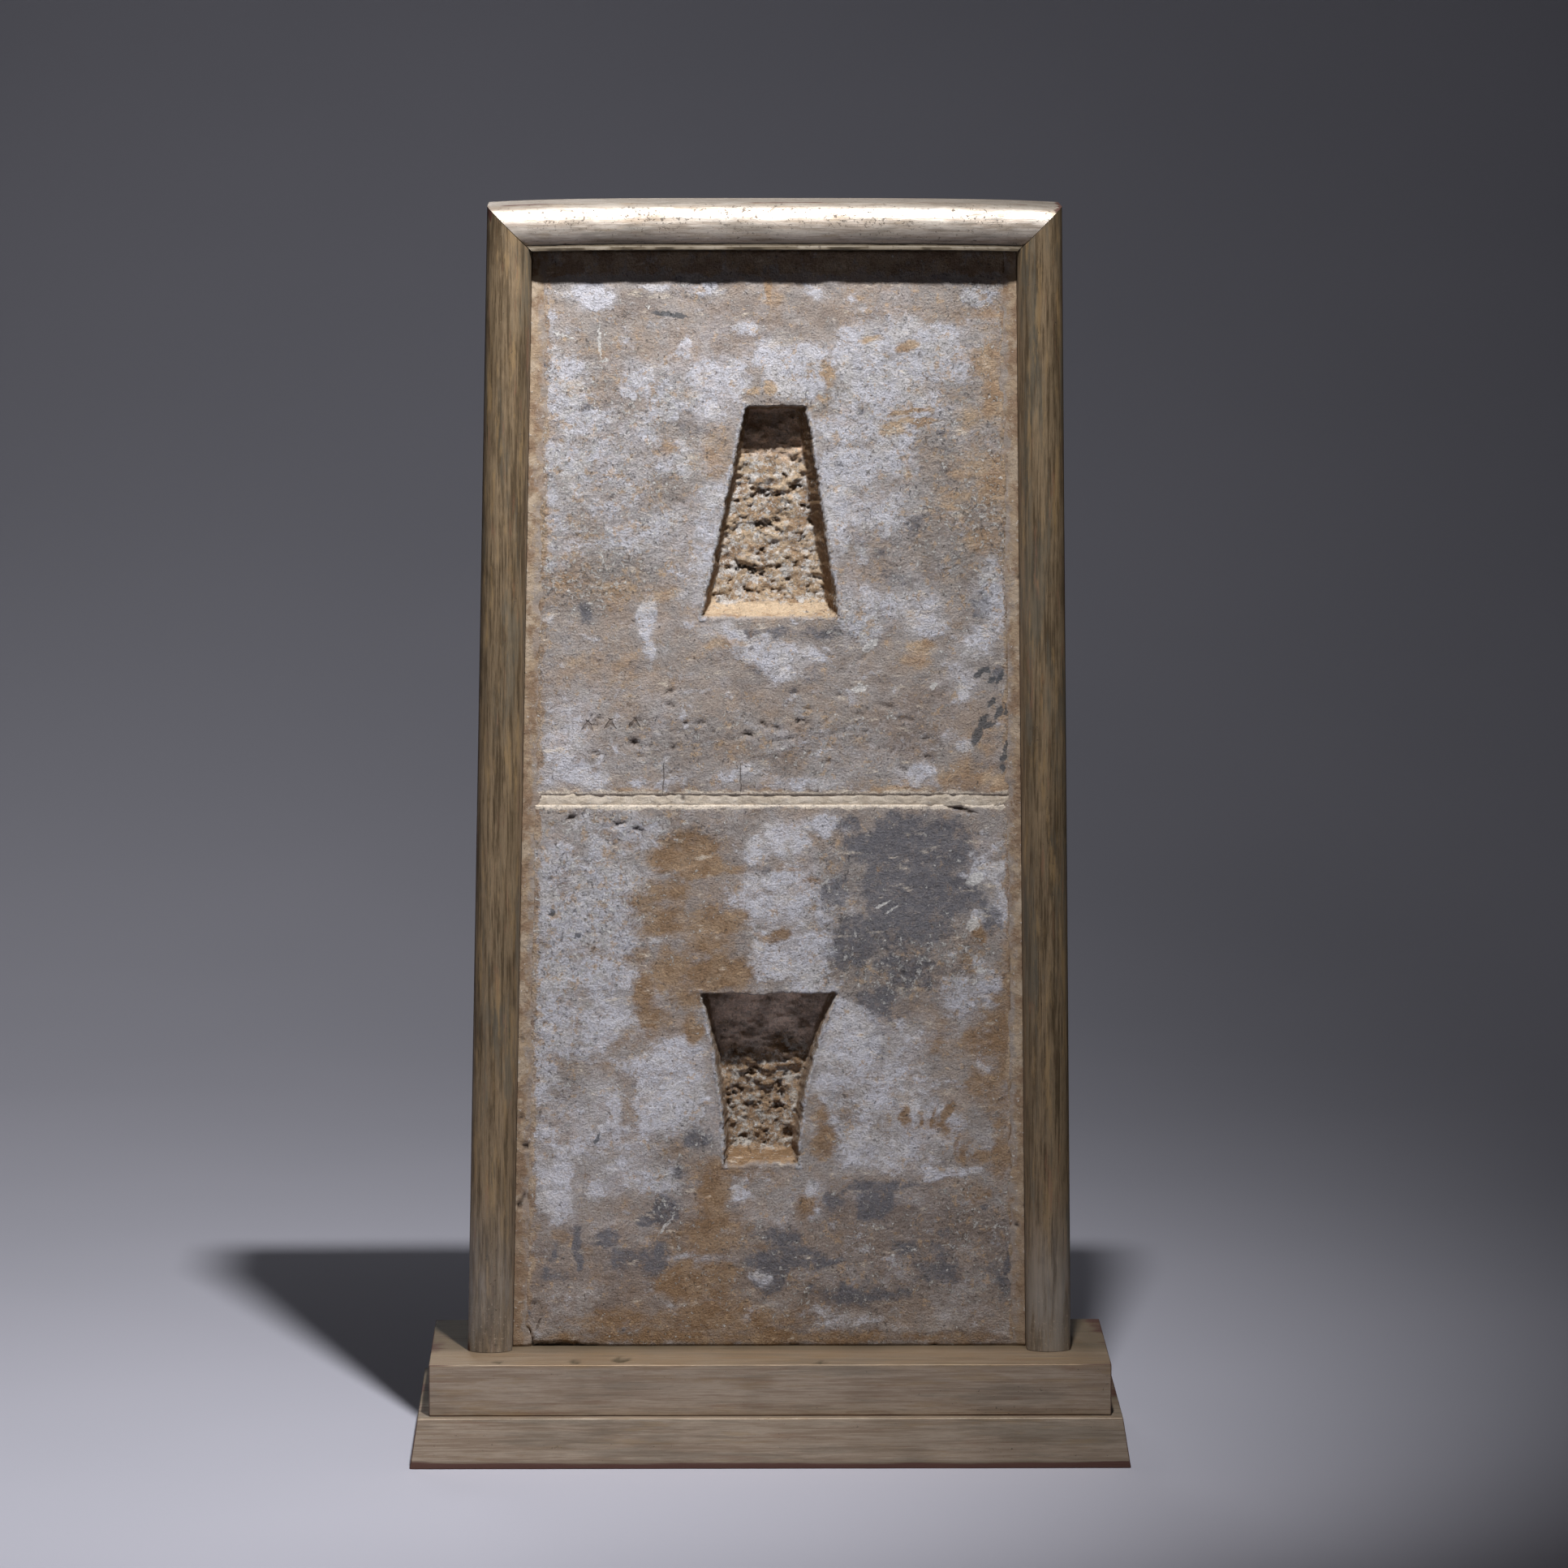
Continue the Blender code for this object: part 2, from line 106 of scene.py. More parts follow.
UPPER_STAINS = {
    "lime": (
        (-120, 811, 17, 8, 12), (-85, 818, 14, 3, 8), (-50, 816, 12, 4, 8), (-158, 800, 8, 14, 6),
        (-145, 748, 18, 22, 10), (-90, 752, 12, 13, 9), (-68, 742, 15, 16, 10), (-35, 752, 22, 14, 10),
        (-40, 735, 20, 12, 7), (10, 768, 25, 12, 10), (20, 752, 22, 12, 10), (60, 770, 22, 16, 10),
        (75, 750, 30, 20, 10), (95, 780, 35, 13, 10), (110, 765, 30, 18, 10), (90, 735, 30, 14, 9),
        (60, 722, 24, 14, 9), (55, 695, 22, 20, 9), (85, 700, 18, 18, 8), (45, 660, 12, 30, 8),
        (66, 655, 16, 20, 6), (-13, 788, 8, 6, 6), (-60, 773, 5, 7, 9), (-130, 700, 25, 30, 7),
        (-155, 690, 10, 30, 7), (-130, 720, 20, 14, 9), (-95, 715, 15, 10, 6), (-150, 640, 14, 25, 6),
        (-60, 695, 22, 12, 5), (-45, 672, 12, 8, 7), (-85, 645, 34, 18, 5), (-45, 640, 10, 25, 7),
        (-52, 610, 14, 14, 6), (-84, 582, 6, 18, 10), (14, 556, 24, 14, 8), (-4, 560, 18, 12, 8),
        (-30, 575, 14, 6, 7), (65, 590, 16, 20, 8), (-130, 690, 34, 40, 4), (80, 660, 24, 20, 6),
        (-142, 500, 18, 26, 7), (20, 500, 50, 8, 3), (100, 598, 22, 10, 6), (110, 580, 20, 9, 6),
        (158, 600, 12, 26, 9), (145, 570, 16, 14, 7), (135, 545, 10, 12, 5), (-130, 478, 35, 12, 6),
        (-85, 470, 20, 7, 6), (-20, 478, 20, 6, 5), (20, 470, 30, 6, 5), (105, 475, 14, 8, 7),
        (130, 500, 12, 6, 5), (145, 812, 12, 8, 9), (155, 795, 8, 14, 5), (28, 815, 12, 5, 5),
        (-110, 665, 24, 14, 5),
    ),
    "ochre": (
        (-165, 790, 5, 10, 8), (-166, 750, 5, 14, 8), (-163, 640, 8, 20, 9), (-160, 662, 8, 10, 7),
        (-165, 700, 5, 20, 7), (-100, 605, 40, 8, 5), (-140, 610, 14, 8, 6), (-75, 705, 12, 5, 6),
        (0, 748, 4, 4, 14), (-14, 745, 4, 4, 13), (-2, 815, 3, 8, 11), (5, 810, 8, 8, 4),
        (42, 757, 4, 8, 10), (38, 742, 6, 3, 8), (70, 782, 7, 3, 10), (95, 778, 11, 4, 12),
        (98, 730, 12, 2, 13), (103, 722, 13, 2, 13), (85, 718, 9, 5, 9), (97, 690, 3, 9, 8),
        (148, 795, 14, 14, 6), (150, 765, 14, 10, 8), (160, 740, 12, 25, 9), (148, 725, 14, 12, 7),
        (145, 695, 22, 14, 7), (160, 680, 14, 30, 8), (130, 665, 20, 14, 5), (150, 640, 16, 12, 8),
        (163, 620, 6, 10, 7), (105, 567, 10, 4, 8), (100, 560, 14, 5, 6), (150, 500, 12, 10, 7),
        (140, 475, 22, 10, 9), (165, 470, 14, 10, 10), (165, 520, 5, 12, 6), (-25, 568, 20, 4, 5),
        (-20, 555, 14, 5, 5), (-110, 550, 30, 14, 4), (-30, 463, 130, 3, 7), (100, 463, 60, 3, 7),
        (-40, 700, 12, 20, 4),
    ),
    "earth": (
        (-95, 728, 13, 8, 6), (-110, 735, 8, 10, 6), (145, 615, 14, 16, 8), (115, 615, 12, 18, 5),
        (138, 650, 12, 12, 5), (0, 520, 90, 35, 3), (60, 535, 45, 25, 4), (110, 535, 25, 25, 5),
        (-60, 540, 40, 14, 3), (100, 500, 20, 14, 6), (70, 495, 25, 12, 4), (20, 500, 40, 14, 3),
        (0, 463, 165, 4, 12), (150, 475, 20, 16, 8), (0, 795, 60, 12, 7), (60, 800, 40, 10, 6),
        (-75, 802, 34, 12, 5),
    ),
    "slate": (
        (-128, 591, 6, 8, 8), (75, 640, 18, 18, 3), (100, 655, 16, 16, 4), (80, 615, 14, 12, 4),
        (147, 594, 4, 12, 8), (-155, 760, 6, 4, 9), (-128, 728, 4, 5, 8), (60, 760, 4, 4, 8),
        (62, 732, 3, 3, 10), (118, 716, 5, 3, 10), (14, 576, 34, 4, 8), (8, 552, 30, 14, 3),
        (-40, 683, 5, 3, 6), (168, 570, 3, 24, 8), (160, 548, 5, 8, 6), (45, 700, 20, 10, 4),
        (130, 690, 14, 14, 4),
    ),
    "crust": (
        (-110, 690, 60, 90, 8), (110, 700, 70, 90, 7), (-130, 612, 44, 20, 12), (45, 745, 60, 25, 6),
        (150, 640, 30, 60, 9), (0, 500, 110, 24, 5), (-68, 742, 20, 20, 9), (60, 585, 30, 14, 8),
        (-165, 650, 8, 120, 10), (145, 812, 20, 10, 10), (-50, 815, 14, 6, 8), (-155, 760, 10, 8, 11),
    ),
}

LOWER_STAINS = {
    "lime": (
        (-105, 435, 30, 14, 8), (-150, 405, 18, 25, 9), (-125, 395, 35, 25, 9), (-140, 370, 30, 25, 10),
        (-110, 380, 18, 18, 9), (-105, 365, 14, 20, 10), (-150, 340, 18, 20, 9), (-120, 335, 25, 14, 8),
        (-150, 305, 20, 25, 9), (-120, 300, 25, 20, 8), (-160, 270, 12, 25, 9), (-80, 270, 25, 12, 8),
        (-70, 245, 25, 22, 11), (-60, 285, 16, 10, 8), (-80, 435, 10, 10, 9), (-8, 425, 10, 10, 9),
        (10, 432, 18, 12, 9), (35, 440, 14, 8, 9), (10, 400, 35, 10, 7), (15, 385, 40, 16, 7),
        (20, 350, 30, 16, 9), (0, 350, 15, 12, 9), (25, 325, 20, 8, 9), (60, 290, 22, 25, 10),
        (50, 310, 10, 10, 10), (70, 255, 40, 30, 6), (95, 270, 20, 30, 5), (60, 225, 25, 20, 6),
        (80, 210, 30, 15, 7), (110, 225, 25, 25, 6), (125, 195, 25, 5, 9), (150, 415, 14, 20, 8),
        (165, 385, 10, 20, 8), (150, 330, 14, 20, 6), (130, 320, 15, 15, 6), (150, 265, 4, 14, 8),
        (145, 403, 6, 4, 12), (147, 378, 5, 5, 12), (-140, 215, 35, 30, 5), (-150, 185, 12, 25, 9),
        (-110, 190, 40, 14, 5), (-100, 220, 25, 14, 5), (-75, 190, 14, 12, 8), (-20, 180, 7, 4, 12),
        (30, 175, 5, 12, 10), (-5, 120, 6, 8, 11), (60, 90, 20, 6, 5), (5, 96, 30, 7, 4),
        (-60, 133, 16, 4, 7), (-115, 250, 14, 20, 5),
    ),
    "slate": (
        (100, 425, 45, 22, 13), (100, 395, 38, 20, 12), (130, 390, 22, 15, 11), (85, 372, 30, 14, 10),
        (58, 352, 16, 14, 12), (110, 365, 20, 12, 9), (95, 338, 25, 14, 8), (80, 315, 20, 14, 8),
        (155, 375, 8, 10, 9), (60, 440, 14, 8, 8), (45, 395, 12, 14, 5), (75, 285, 12, 12, 5),
        (-50, 218, 10, 8, 10), (-70, 170, 8, 10, 12), (-80, 162, 14, 5, 10), (-65, 195, 6, 6, 7),
        (-115, 148, 10, 6, 8), (-134, 142, 4, 15, 11), (-150, 122, 10, 7, 9), (-153, 135, 3, 8, 8),
        (-172, 93, 4, 6, 10), (-75, 135, 5, 9, 9), (-90, 130, 26, 12, 6), (5, 148, 15, 8, 9),
        (10, 133, 25, 9, 11), (0, 118, 14, 10, 9), (35, 130, 18, 3, 10), (45, 175, 10, 6, 9),
        (75, 175, 14, 14, 11), (85, 185, 30, 3, 8), (60, 183, 14, 3, 8), (100, 140, 25, 6, 7),
        (120, 125, 20, 12, 7), (60, 108, 40, 8, 6), (75, 108, 15, 3, 9), (125, 150, 6, 8, 7),
        (150, 168, 4, 3, 9), (170, 133, 5, 8, 9), (165, 115, 12, 14, 5),
    ),
    "ochre": (
        (-55, 412, 28, 8, 15), (-55, 425, 20, 14, 9), (-30, 410, 14, 5, 10), (-70, 395, 25, 10, 8),
        (-85, 385, 12, 10, 8), (-75, 372, 25, 12, 8), (-35, 375, 20, 12, 8), (-45, 355, 16, 10, 10),
        (-65, 345, 12, 10, 7), (-35, 335, 22, 14, 14), (-70, 335, 12, 20, 10), (-55, 322, 14, 10, 9),
        (-95, 350, 14, 6, 7), (-88, 325, 10, 14, 9), (-80, 305, 12, 6, 8), (-55, 300, 6, 14, 10),
        (-50, 292, 5, 6, 13), (-100, 432, 22, 8, 4), (-120, 352, 20, 6, 5), (-95, 290, 20, 8, 5),
        (0, 362, 12, 4, 10), (35, 400, 10, 4, 7), (10, 410, 14, 3, 7), (145, 362, 7, 9, 12),
        (140, 345, 5, 12, 8), (150, 290, 20, 18, 9), (155, 250, 18, 20, 8), (125, 290, 14, 18, 6),
        (130, 225, 22, 14, 5), (95, 235, 3, 6, 10), (105, 232, 2, 8, 9), (115, 233, 2, 9, 9),
        (125, 235, 3, 12, 10), (133, 215, 3, 10, 10), (138, 208, 3, 8, 10), (165, 215, 8, 30, 9),
        (150, 205, 12, 6, 7), (40, 215, 9, 14, 9), (35, 232, 7, 14, 8), (-40, 185, 12, 20, 10),
        (-15, 195, 15, 6, 6), (-40, 150, 30, 14, 8), (-55, 115, 25, 14, 10), (-35, 125, 20, 8, 8),
        (-110, 90, 30, 8, 8), (-40, 92, 50, 14, 8), (0, 90, 25, 8, 9), (-150, 150, 12, 5, 8),
        (25, 170, 8, 10, 7), (0, 170, 12, 7, 5), (145, 180, 10, 8, 5), (155, 150, 8, 8, 4),
        (165, 300, 8, 60, 7), (0, 77, 170, 5, 8),
    ),
    "earth": (
        (-40, 400, 50, 40, 5), (-45, 345, 40, 25, 5), (0, 125, 180, 50, 7.5), (110, 165, 60, 28, 8),
        (-150, 110, 30, 40, 4), (0, 76, 175, 7, 15), (160, 270, 14, 60, 5), (-20, 200, 50, 30, 4),
    ),
    "crust": (
        (-130, 385, 45, 60, 9), (-150, 300, 28, 60, 7), (90, 340, 60, 26, 9), (-70, 185, 16, 40, 8),
        (150, 140, 40, 50, 6), (60, 130, 110, 44, 5), (-100, 440, 60, 12, 9), (45, 400, 16, 40, 8),
        (-155, 350, 12, 14, 12), (-50, 230, 10, 26, 7), (50, 250, 8, 40, 5), (130, 345, 26, 26, 9),
    ),
}

# Short strokes of old pigment, pale scratches, nicks and dark cuts on the faces, in metres,
# turned in radians
UPPER_INK = marks(
    Stroke,
    (-0.069, 0.798, 0.014, 0.0020, -0.12), (0.146, 0.547, 0.0050, 0.0022, 0.7),
    (0.151, 0.550, 0.0035, 0.0020, -0.5), (0.155, 0.543, 0.0040, 0.0020, 0.9),
    (0.161, 0.545, 0.0065, 0.0018, 1.05), (0.155, 0.527, 0.0045, 0.0022, 0.9),
    (0.160, 0.520, 0.0055, 0.0022, 1.10), (0.166, 0.523, 0.0060, 0.0020, 1.35),
    (0.149, 0.514, 0.0060, 0.0030, 1.00), (0.145, 0.504, 0.0080, 0.0034, 1.20),
    (0.153, 0.511, 0.0050, 0.0022, 0.3), (0.166, 0.497, 0.0050, 0.0022, 1.25),
    (0.164, 0.489, 0.0045, 0.0024, 1.10), (0.163, 0.481, 0.0026, 0.0022, 0.0),
)
UPPER_SCRATCHES = marks(
    Stroke,
    (-0.142, 0.783, 0.0085, 0.0010, -0.35), (-0.118, 0.779, 0.0130, 0.0010, 1.62),
    (-0.115, 0.766, 0.0035, 0.0010, 0.2), (0.070, 0.567, 0.0075, 0.0030, 0.7),
    (0.063, 0.537, 0.0055, 0.0030, 0.2), (0.1145, 0.539, 0.0030, 0.0020, 0.5),
)
LOWER_INK = marks(
    Stroke,
    (-0.121, 0.219, 0.0050, 0.0014, 1.2), (-0.134, 0.363, 0.0030, 0.0018, 0.5),
    (-0.152, 0.379, 0.0030, 0.0016, 1.0),
)
LOWER_SCRATCHES = marks(
    Stroke,
    (0.144, 0.403, 0.0070, 0.0042, 0.5), (0.143, 0.371, 0.0060, 0.0040, 0.9),
    (0.148, 0.338, 0.0035, 0.0025, 0.0), (0.080, 0.385, 0.0070, 0.0009, 0.5),
    (0.086, 0.381, 0.0050, 0.0008, 0.6), (-0.072, 0.158, 0.0100, 0.0010, 0.9),
)
UPPER_NICKS = marks(
    Nick,
    (-0.017, 0.504, 0.008, 0.0020, 0.2, 0.0008), (0.050, 0.506, 0.010, 0.0018, 0.1, 0.0008),
    (0.082, 0.524, 0.008, 0.0022, -0.4, 0.0012), (0.044, 0.496, 0.007, 0.0018, -0.7, 0.0008),
    (-0.013, 0.564, 0.0025, 0.0020, 0.0, 0.0014), (-0.074, 0.474, 0.014, 0.0009, 1.55, 0.0008),
    (-0.020, 0.474, 0.013, 0.0009, 1.60, 0.0008), (0.066, 0.560, 0.009, 0.0022, 0.8, 0.0012),
)
LOWER_NICKS = marks(
    Nick,
    (-0.138, 0.446, 0.0045, 0.0025, 0.0, 0.0022), (-0.105, 0.442, 0.0050, 0.0022, 0.3, 0.0020),
    (-0.092, 0.438, 0.0040, 0.0020, -0.2, 0.0018), (0.133, 0.452, 0.0120, 0.0022, -0.25, 0.0030),
    (-0.170, 0.078, 0.0030, 0.008, 0.2, 0.0040), (-0.165, 0.102, 0.0025, 0.003, 0.0, 0.0018),
    (-0.152, 0.072, 0.026, 0.0022, 0.0, 0.0040),
)
CARETS = ((-0.127, 0.511), (-0.111, 0.512), (-0.094, 0.513))
CARET_ARM = 0.0044
CARET_WIDTH = 0.0010
CARET_TURN = 0.95
SCATTERED_NICKS = 46
SCATTERED_SIDES = (-0.130, 0.115)
SCATTERED_LEVEL = 0.508
SCATTERED_SPREAD = 0.013
UPPER_CUTS = marks(
    Stroke,
    (-0.074, 0.474, 0.011, 0.0004, 1.52), (-0.020, 0.474, 0.010, 0.0004, 1.60),
)
LOWER_CUTS = marks(
    Stroke,
    (0.133, 0.452, 0.0120, 0.0012, -0.25), (-0.163, 0.086, 0.0050, 0.0008, 1.2),
)


# Noise on a plane, all from seeded lattices

LATTICE = 128


def gradient_noise(x, z, size, seed):
    """Smooth random numbers from about -1 to 1 that change over about size metres."""
    angles = np.random.default_rng(seed).uniform(0, 2 * math.pi, (LATTICE, LATTICE))
    across, up = x / size, z / size
    column, row = np.floor(across).astype(int), np.floor(up).astype(int)
    right, high = across - column, up - row

    def corner(i, j):
        angle = angles[(column + i) % LATTICE, (row + j) % LATTICE]
        return np.cos(angle) * (right - i) + np.sin(angle) * (high - j)

    ease_right = right ** 3 * (right * (right * 6 - 15) + 10)
    ease_high = high ** 3 * (high * (high * 6 - 15) + 10)
    low_edge = corner(0, 0) * (1 - ease_right) + corner(1, 0) * ease_right
    high_edge = corner(0, 1) * (1 - ease_right) + corner(1, 1) * ease_right
    return 1.5 * (low_edge * (1 - ease_high) + high_edge * ease_high)


def rough(x, z, size, seed, octaves=4, keep=0.55):
    """Layers of noise, each finer and turned against the one before."""
    total = 0.0
    strength = 1.0
    for octave in range(octaves):
        turn = 0.7 + 1.3 * octave
        turned_x = x * math.cos(turn) - z * math.sin(turn)
        turned_z = x * math.sin(turn) + z * math.cos(turn)
        total = total + strength * gradient_noise(turned_x, turned_z, size, seed + octave)
        size *= 0.5
        strength *= keep
    return total


def smooth_step(value, low, high):
    share = np.clip((value - low) / (high - low), 0.0, 1.0)
    return share * share * (3 - 2 * share)


def blurred(field, passes):
    for _ in range(passes):
        padded = np.pad(field, 1, mode="edge")
        beside = padded[:-2, 1:-1] + padded[2:, 1:-1]
        above = padded[1:-1, :-2] + padded[1:-1, 2:]
        field = (beside + above) / 4
    return field


# Lines of the frame, from the CAD's boxes. LEFT and RIGHT index a box's two corners.

LEFT = 0
RIGHT = 1


def lean(side):
    """Change of x for each metre up, from the feet of the two bricks."""
    lower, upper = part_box("brick_lower"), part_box("brick_upper")
    return (upper[side].x - lower[side].x) / (upper[0].z - lower[0].z)


def brick_edge(side, z):
    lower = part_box("brick_lower")
    return lower[side].x + lean(side) * (z - lower[0].z)


def stile_edge(side, z):
    """Outer face of a stile at a height."""
    node = ("frame_left_stile", "frame_right_stile")[side]
    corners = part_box(node)
    return corners[side].x + lean(side) * (z - corners[0].z)


# Meshes


def new_piece(name, points, faces, material, node, sharp_angle=None):
    """A closed mesh that stands for a CAD node."""
    mesh = bpy.data.meshes.new(name)
    mesh.from_pydata(points.tolist(), [], faces)
    bm = bmesh.new()
    bm.from_mesh(mesh)
    bmesh.ops.recalc_face_normals(bm, faces=bm.faces)
    bm.to_mesh(mesh)
    bm.free()
    mesh.shade_smooth()
    if sharp_angle:
        mesh.set_sharp_from_angle(angle=math.radians(sharp_angle))
    mesh.materials.append(material)
    piece = bpy.data.objects.new(name, mesh)
    bpy.context.scene.collection.objects.link(piece)
    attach(piece, "root")
    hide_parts(node)
    return piece


def set_attribute(piece, name, values):
    attribute = piece.data.attributes.new(name, "FLOAT", "POINT")
    attribute.data.foreach_set("value", np.asarray(values, np.float32).ravel())


def placed(x, y, z):
    """Points from their three places, each spread over the same grid."""
    return np.stack(np.broadcast_arrays(x, y, z), axis=-1)


def grid_faces(index):
    """Four-sided faces between a grid's neighbouring points."""
    a, b = index[:-1, :-1].ravel(), index[1:, :-1].ravel()
    c, d = index[1:, 1:].ravel(), index[:-1, 1:].ravel()
    return np.stack([a, b, c, d], axis=1).tolist()


def stitched(first, second):
    """Triangles between two rows of points side by side, whatever their counts."""
    faces = []
    i = j = 0
    while i < len(first) - 1 or j < len(second) - 1:
        first_share = (i + 1) / (len(first) - 1)
        second_share = (j + 1) / (len(second) - 1)
        if first_share <= second_share:
            faces.append([int(first[i]), int(first[i + 1]), int(second[j])])
            i += 1
        else:
            faces.append([int(first[i]), int(second[j + 1]), int(second[j])])
            j += 1
    return faces


def grid_edges(index):
    return index[:, 0], index[-1, :], index[:, -1], index[0, :]


def swept(rows):
    """Points and faces of a closed bar through rows of points, with flat ends."""
    stations, count = rows.shape[:2]
    index = np.arange(stations * count).reshape(stations, count)
    closed = np.concatenate([index, index[:, :1]], axis=1)
    faces = grid_faces(closed)
    faces.append(index[0].tolist())
    faces.append(index[-1][::-1].tolist())
    return rows.reshape(-1, 3), faces


def graded(low, high, fine_low, fine_high, fine, coarse):
    """Places from low to high, closer together between the two fine limits."""
    parts = [(low, fine_low, coarse), (fine_low, fine_high, fine), (fine_high, high, coarse)]
    places = [np.linspace(a, b, max(2, round((b - a) / step)), endpoint=False)
              for a, b, step in parts]
    return np.append(np.concatenate(places), high)


# Shader nodes

class Value:
    """What a shader node gives out: a number, a colour or a place that varies over a piece."""

    def __init__(self, paint, output):
        self.paint = paint
        self.output = output

    def __add__(self, other):
        return self.paint.pair("ShaderNodeMath", "ADD", self, other)

    def __mul__(self, other):
        return self.paint.pair("ShaderNodeMath", "MULTIPLY", self, other)

    def most(self, other):
        return self.paint.pair("ShaderNodeMath", "MAXIMUM", self, other)

    def ramp(self, low, high, low_out=0.0, high_out=1.0):
        """Goes smoothly from low_out to high_out as the value goes from low to high."""
        inputs = {"Value": self, "From Min": low, "From Max": high,
                  "To Min": low_out, "To Max": high_out}
        return self.paint.node("ShaderNodeMapRange", 0, inputs, interpolation_type="SMOOTHSTEP")

    def covered(self, colour, share):
        """This colour with another one laid over it."""
        return self.paint.mixed(share, self, colour)


class Paint:
    """A material in the making."""

    def __init__(self, name):
        self.material = bpy.data.materials.new(name)
        self.material.use_nodes = True
        self.tree = self.material.node_tree
        self.place = self.node("ShaderNodeTexCoord", "Object")

    def fill(self, target, value):
        """Links or sets an input."""
        if isinstance(value, Value):
            self.tree.links.new(value.output, target)
        else:
            target.default_value = value

    def node(self, kind, output=0, inputs=None, **settings):
        """An output of a new node with its settings and inputs."""
        node = self.tree.nodes.new(kind)
        for name, value in settings.items():
            setattr(node, name, value)
        for name, value in (inputs or {}).items():
            self.fill(node.inputs[name], value)
        return Value(self, node.outputs[output])

    def pair(self, kind, operation, first, second):
        return self.node(kind, 0, {0: first, 1: second}, operation=operation)

    def noise(self, size, detail=3.0, roughness=0.55, stretch=(1, 1, 1), shift=0.0):
        """Noise with features of about size metres, longer where stretch is above 1. Each shift
        gives another pattern."""
        scaled = self.node("ShaderNodeMapping", 0, {
            "Vector": self.place, "Scale": [1 / (size * along) for along in stretch],
            "Location": (shift, shift, shift)})
        return self.node("ShaderNodeTexNoise", "Fac", {
            "Vector": scaled, "Scale": 1.0, "Detail": detail, "Roughness": roughness})

    def mixed(self, share, first, second):
        """A colour between two others."""
        first, second = (colour if isinstance(colour, Value) else (*colour, 1.0)
                         for colour in (first, second))
        return self.node("ShaderNodeMix", 2, {0: share, 6: first, 7: second}, data_type="RGBA")

    def attribute(self, name):
        return self.node("ShaderNodeAttribute", "Fac", attribute_name=name)

    def film(self, kind, gain, limits, size, shift, stretch=(1, 1, 1), under=None):
        """Share covered by a stain: its attribute raises noise with fine ragged edges, and the
        stain named by under keeps it back."""
        value = self.noise(size, 9, 0.74, stretch, shift) + self.attribute(kind) * gain
        if under:
            value = value + self.attribute(under) * -0.12
        return value.ramp(*limits)

    def strokes_mask(self, place, strokes, depth):
        """1 inside any of the strokes on the face at a depth, 0 outside them."""
        masks = []
        for stroke in strokes:
            inputs = {
                "Vector": place,
                "Location": (stroke.x, depth, stroke.z),
                "Rotation": (0.0, -stroke.turn, 0.0),
                "Scale": (stroke.length, 0.02, stroke.width),
            }
            local = self.node("ShaderNodeMapping", 0, inputs, vector_type="TEXTURE")
            reach = self.node("ShaderNodeVectorMath", "Value", {0: local}, operation="LENGTH")
            masks.append(reach.ramp(1.15, 0.75))
        return reduce(Value.most, masks)

    def warped_place(self, size, amount):
        """The place moved about by noise, so that marks get ragged edges."""
        scaled = self.node(
            "ShaderNodeMapping", 0, {"Vector": self.place, "Scale": [1 / size] * 3})
        texture = self.node(
            "ShaderNodeTexNoise", "Color", {"Vector": scaled, "Scale": 1.0, "Detail": 2.0})
        middle = self.pair("ShaderNodeVectorMath", "SUBTRACT", texture, (0.5, 0.5, 0.5))
        shift = self.pair("ShaderNodeVectorMath", "MULTIPLY", middle, (amount, amount, amount))
        return self.pair("ShaderNodeVectorMath", "ADD", self.place, shift)

    def finish(self, colour, roughness, others, height=None, distance=0.0, strength=1.0):
        """The material, with the shader's inputs joined and a bump of a height."""
        inputs = {"Base Color": colour, "Roughness": roughness, **others}
        if height:
            inputs["Normal"] = self.node("ShaderNodeBump", 0, {
                "Height": height, "Distance": distance, "Strength": strength})
        shader = self.tree.nodes["Principled BSDF"]
        for name, value in inputs.items():
            self.fill(shader.inputs[name], value)
        return self.material


# Materials

CLAY = (0.385, 0.333, 0.302)
CLAY_WARM = (0.390, 0.312, 0.262)
CLAY_GREY = (0.335, 0.308, 0.300)
EARTH = (0.245, 0.193, 0.165)
SLATE = (0.150, 0.150, 0.172)
LIME = (0.630, 0.628, 0.695)
LIME_WARM = (0.650, 0.622, 0.630)
RUST_FLECK = (0.520, 0.360, 0.225)
CRUMB_WHITE = (0.760, 0.740, 0.720)
CRUMB_DARK = (0.130, 0.120, 0.120)
# Soot in the dark cuts and crumbs, and the colour of painted shade in pits
SOOT_AND_SHADE = (0.110, 0.080, 0.062)
INK = (0.075, 0.084, 0.096)
# Painted shade in the pits of a socket's ground
PIT_SHADE_BROWN = (0.200, 0.110, 0.055)

# A brick's ochre stains, then the ground of its socket: sand, darker parts, pale crumbs,
# walls, the smooth ground near the head, and streaks on the ledge at the foot. The smooth
# ground lies in the socket's shadow, and its colour is painted shade in the upper socket and
# painted fill light in the lower one
Palette = namedtuple("Palette", "ochre pale_ochre sand dark chalk wall vault streak")
UPPER_PALETTE = Palette(
    (0.400, 0.265, 0.165), (0.540, 0.395, 0.270),
    (0.610, 0.470, 0.330), (0.350, 0.225, 0.135), (0.740, 0.710, 0.690),
    (0.190, 0.108, 0.050), (0.600, 0.430, 0.310), (0.600, 0.460, 0.320))
LOWER_PALETTE = Palette(
    (0.275, 0.172, 0.096), (0.355, 0.242, 0.152),
    (0.440, 0.300, 0.190), (0.300, 0.200, 0.125), (0.640, 0.605, 0.560),
    (0.290, 0.205, 0.140), (0.760, 0.620, 0.530), (0.220, 0.130, 0.065))

CREAM = (0.820, 0.715, 0.600)
CREAM_MIDDLE = (0.700, 0.595, 0.480)
CREAM_DARK = (0.560, 0.455, 0.350)
SANDY = (0.450, 0.335, 0.232)
SANDY_DARK = (0.305, 0.205, 0.135)
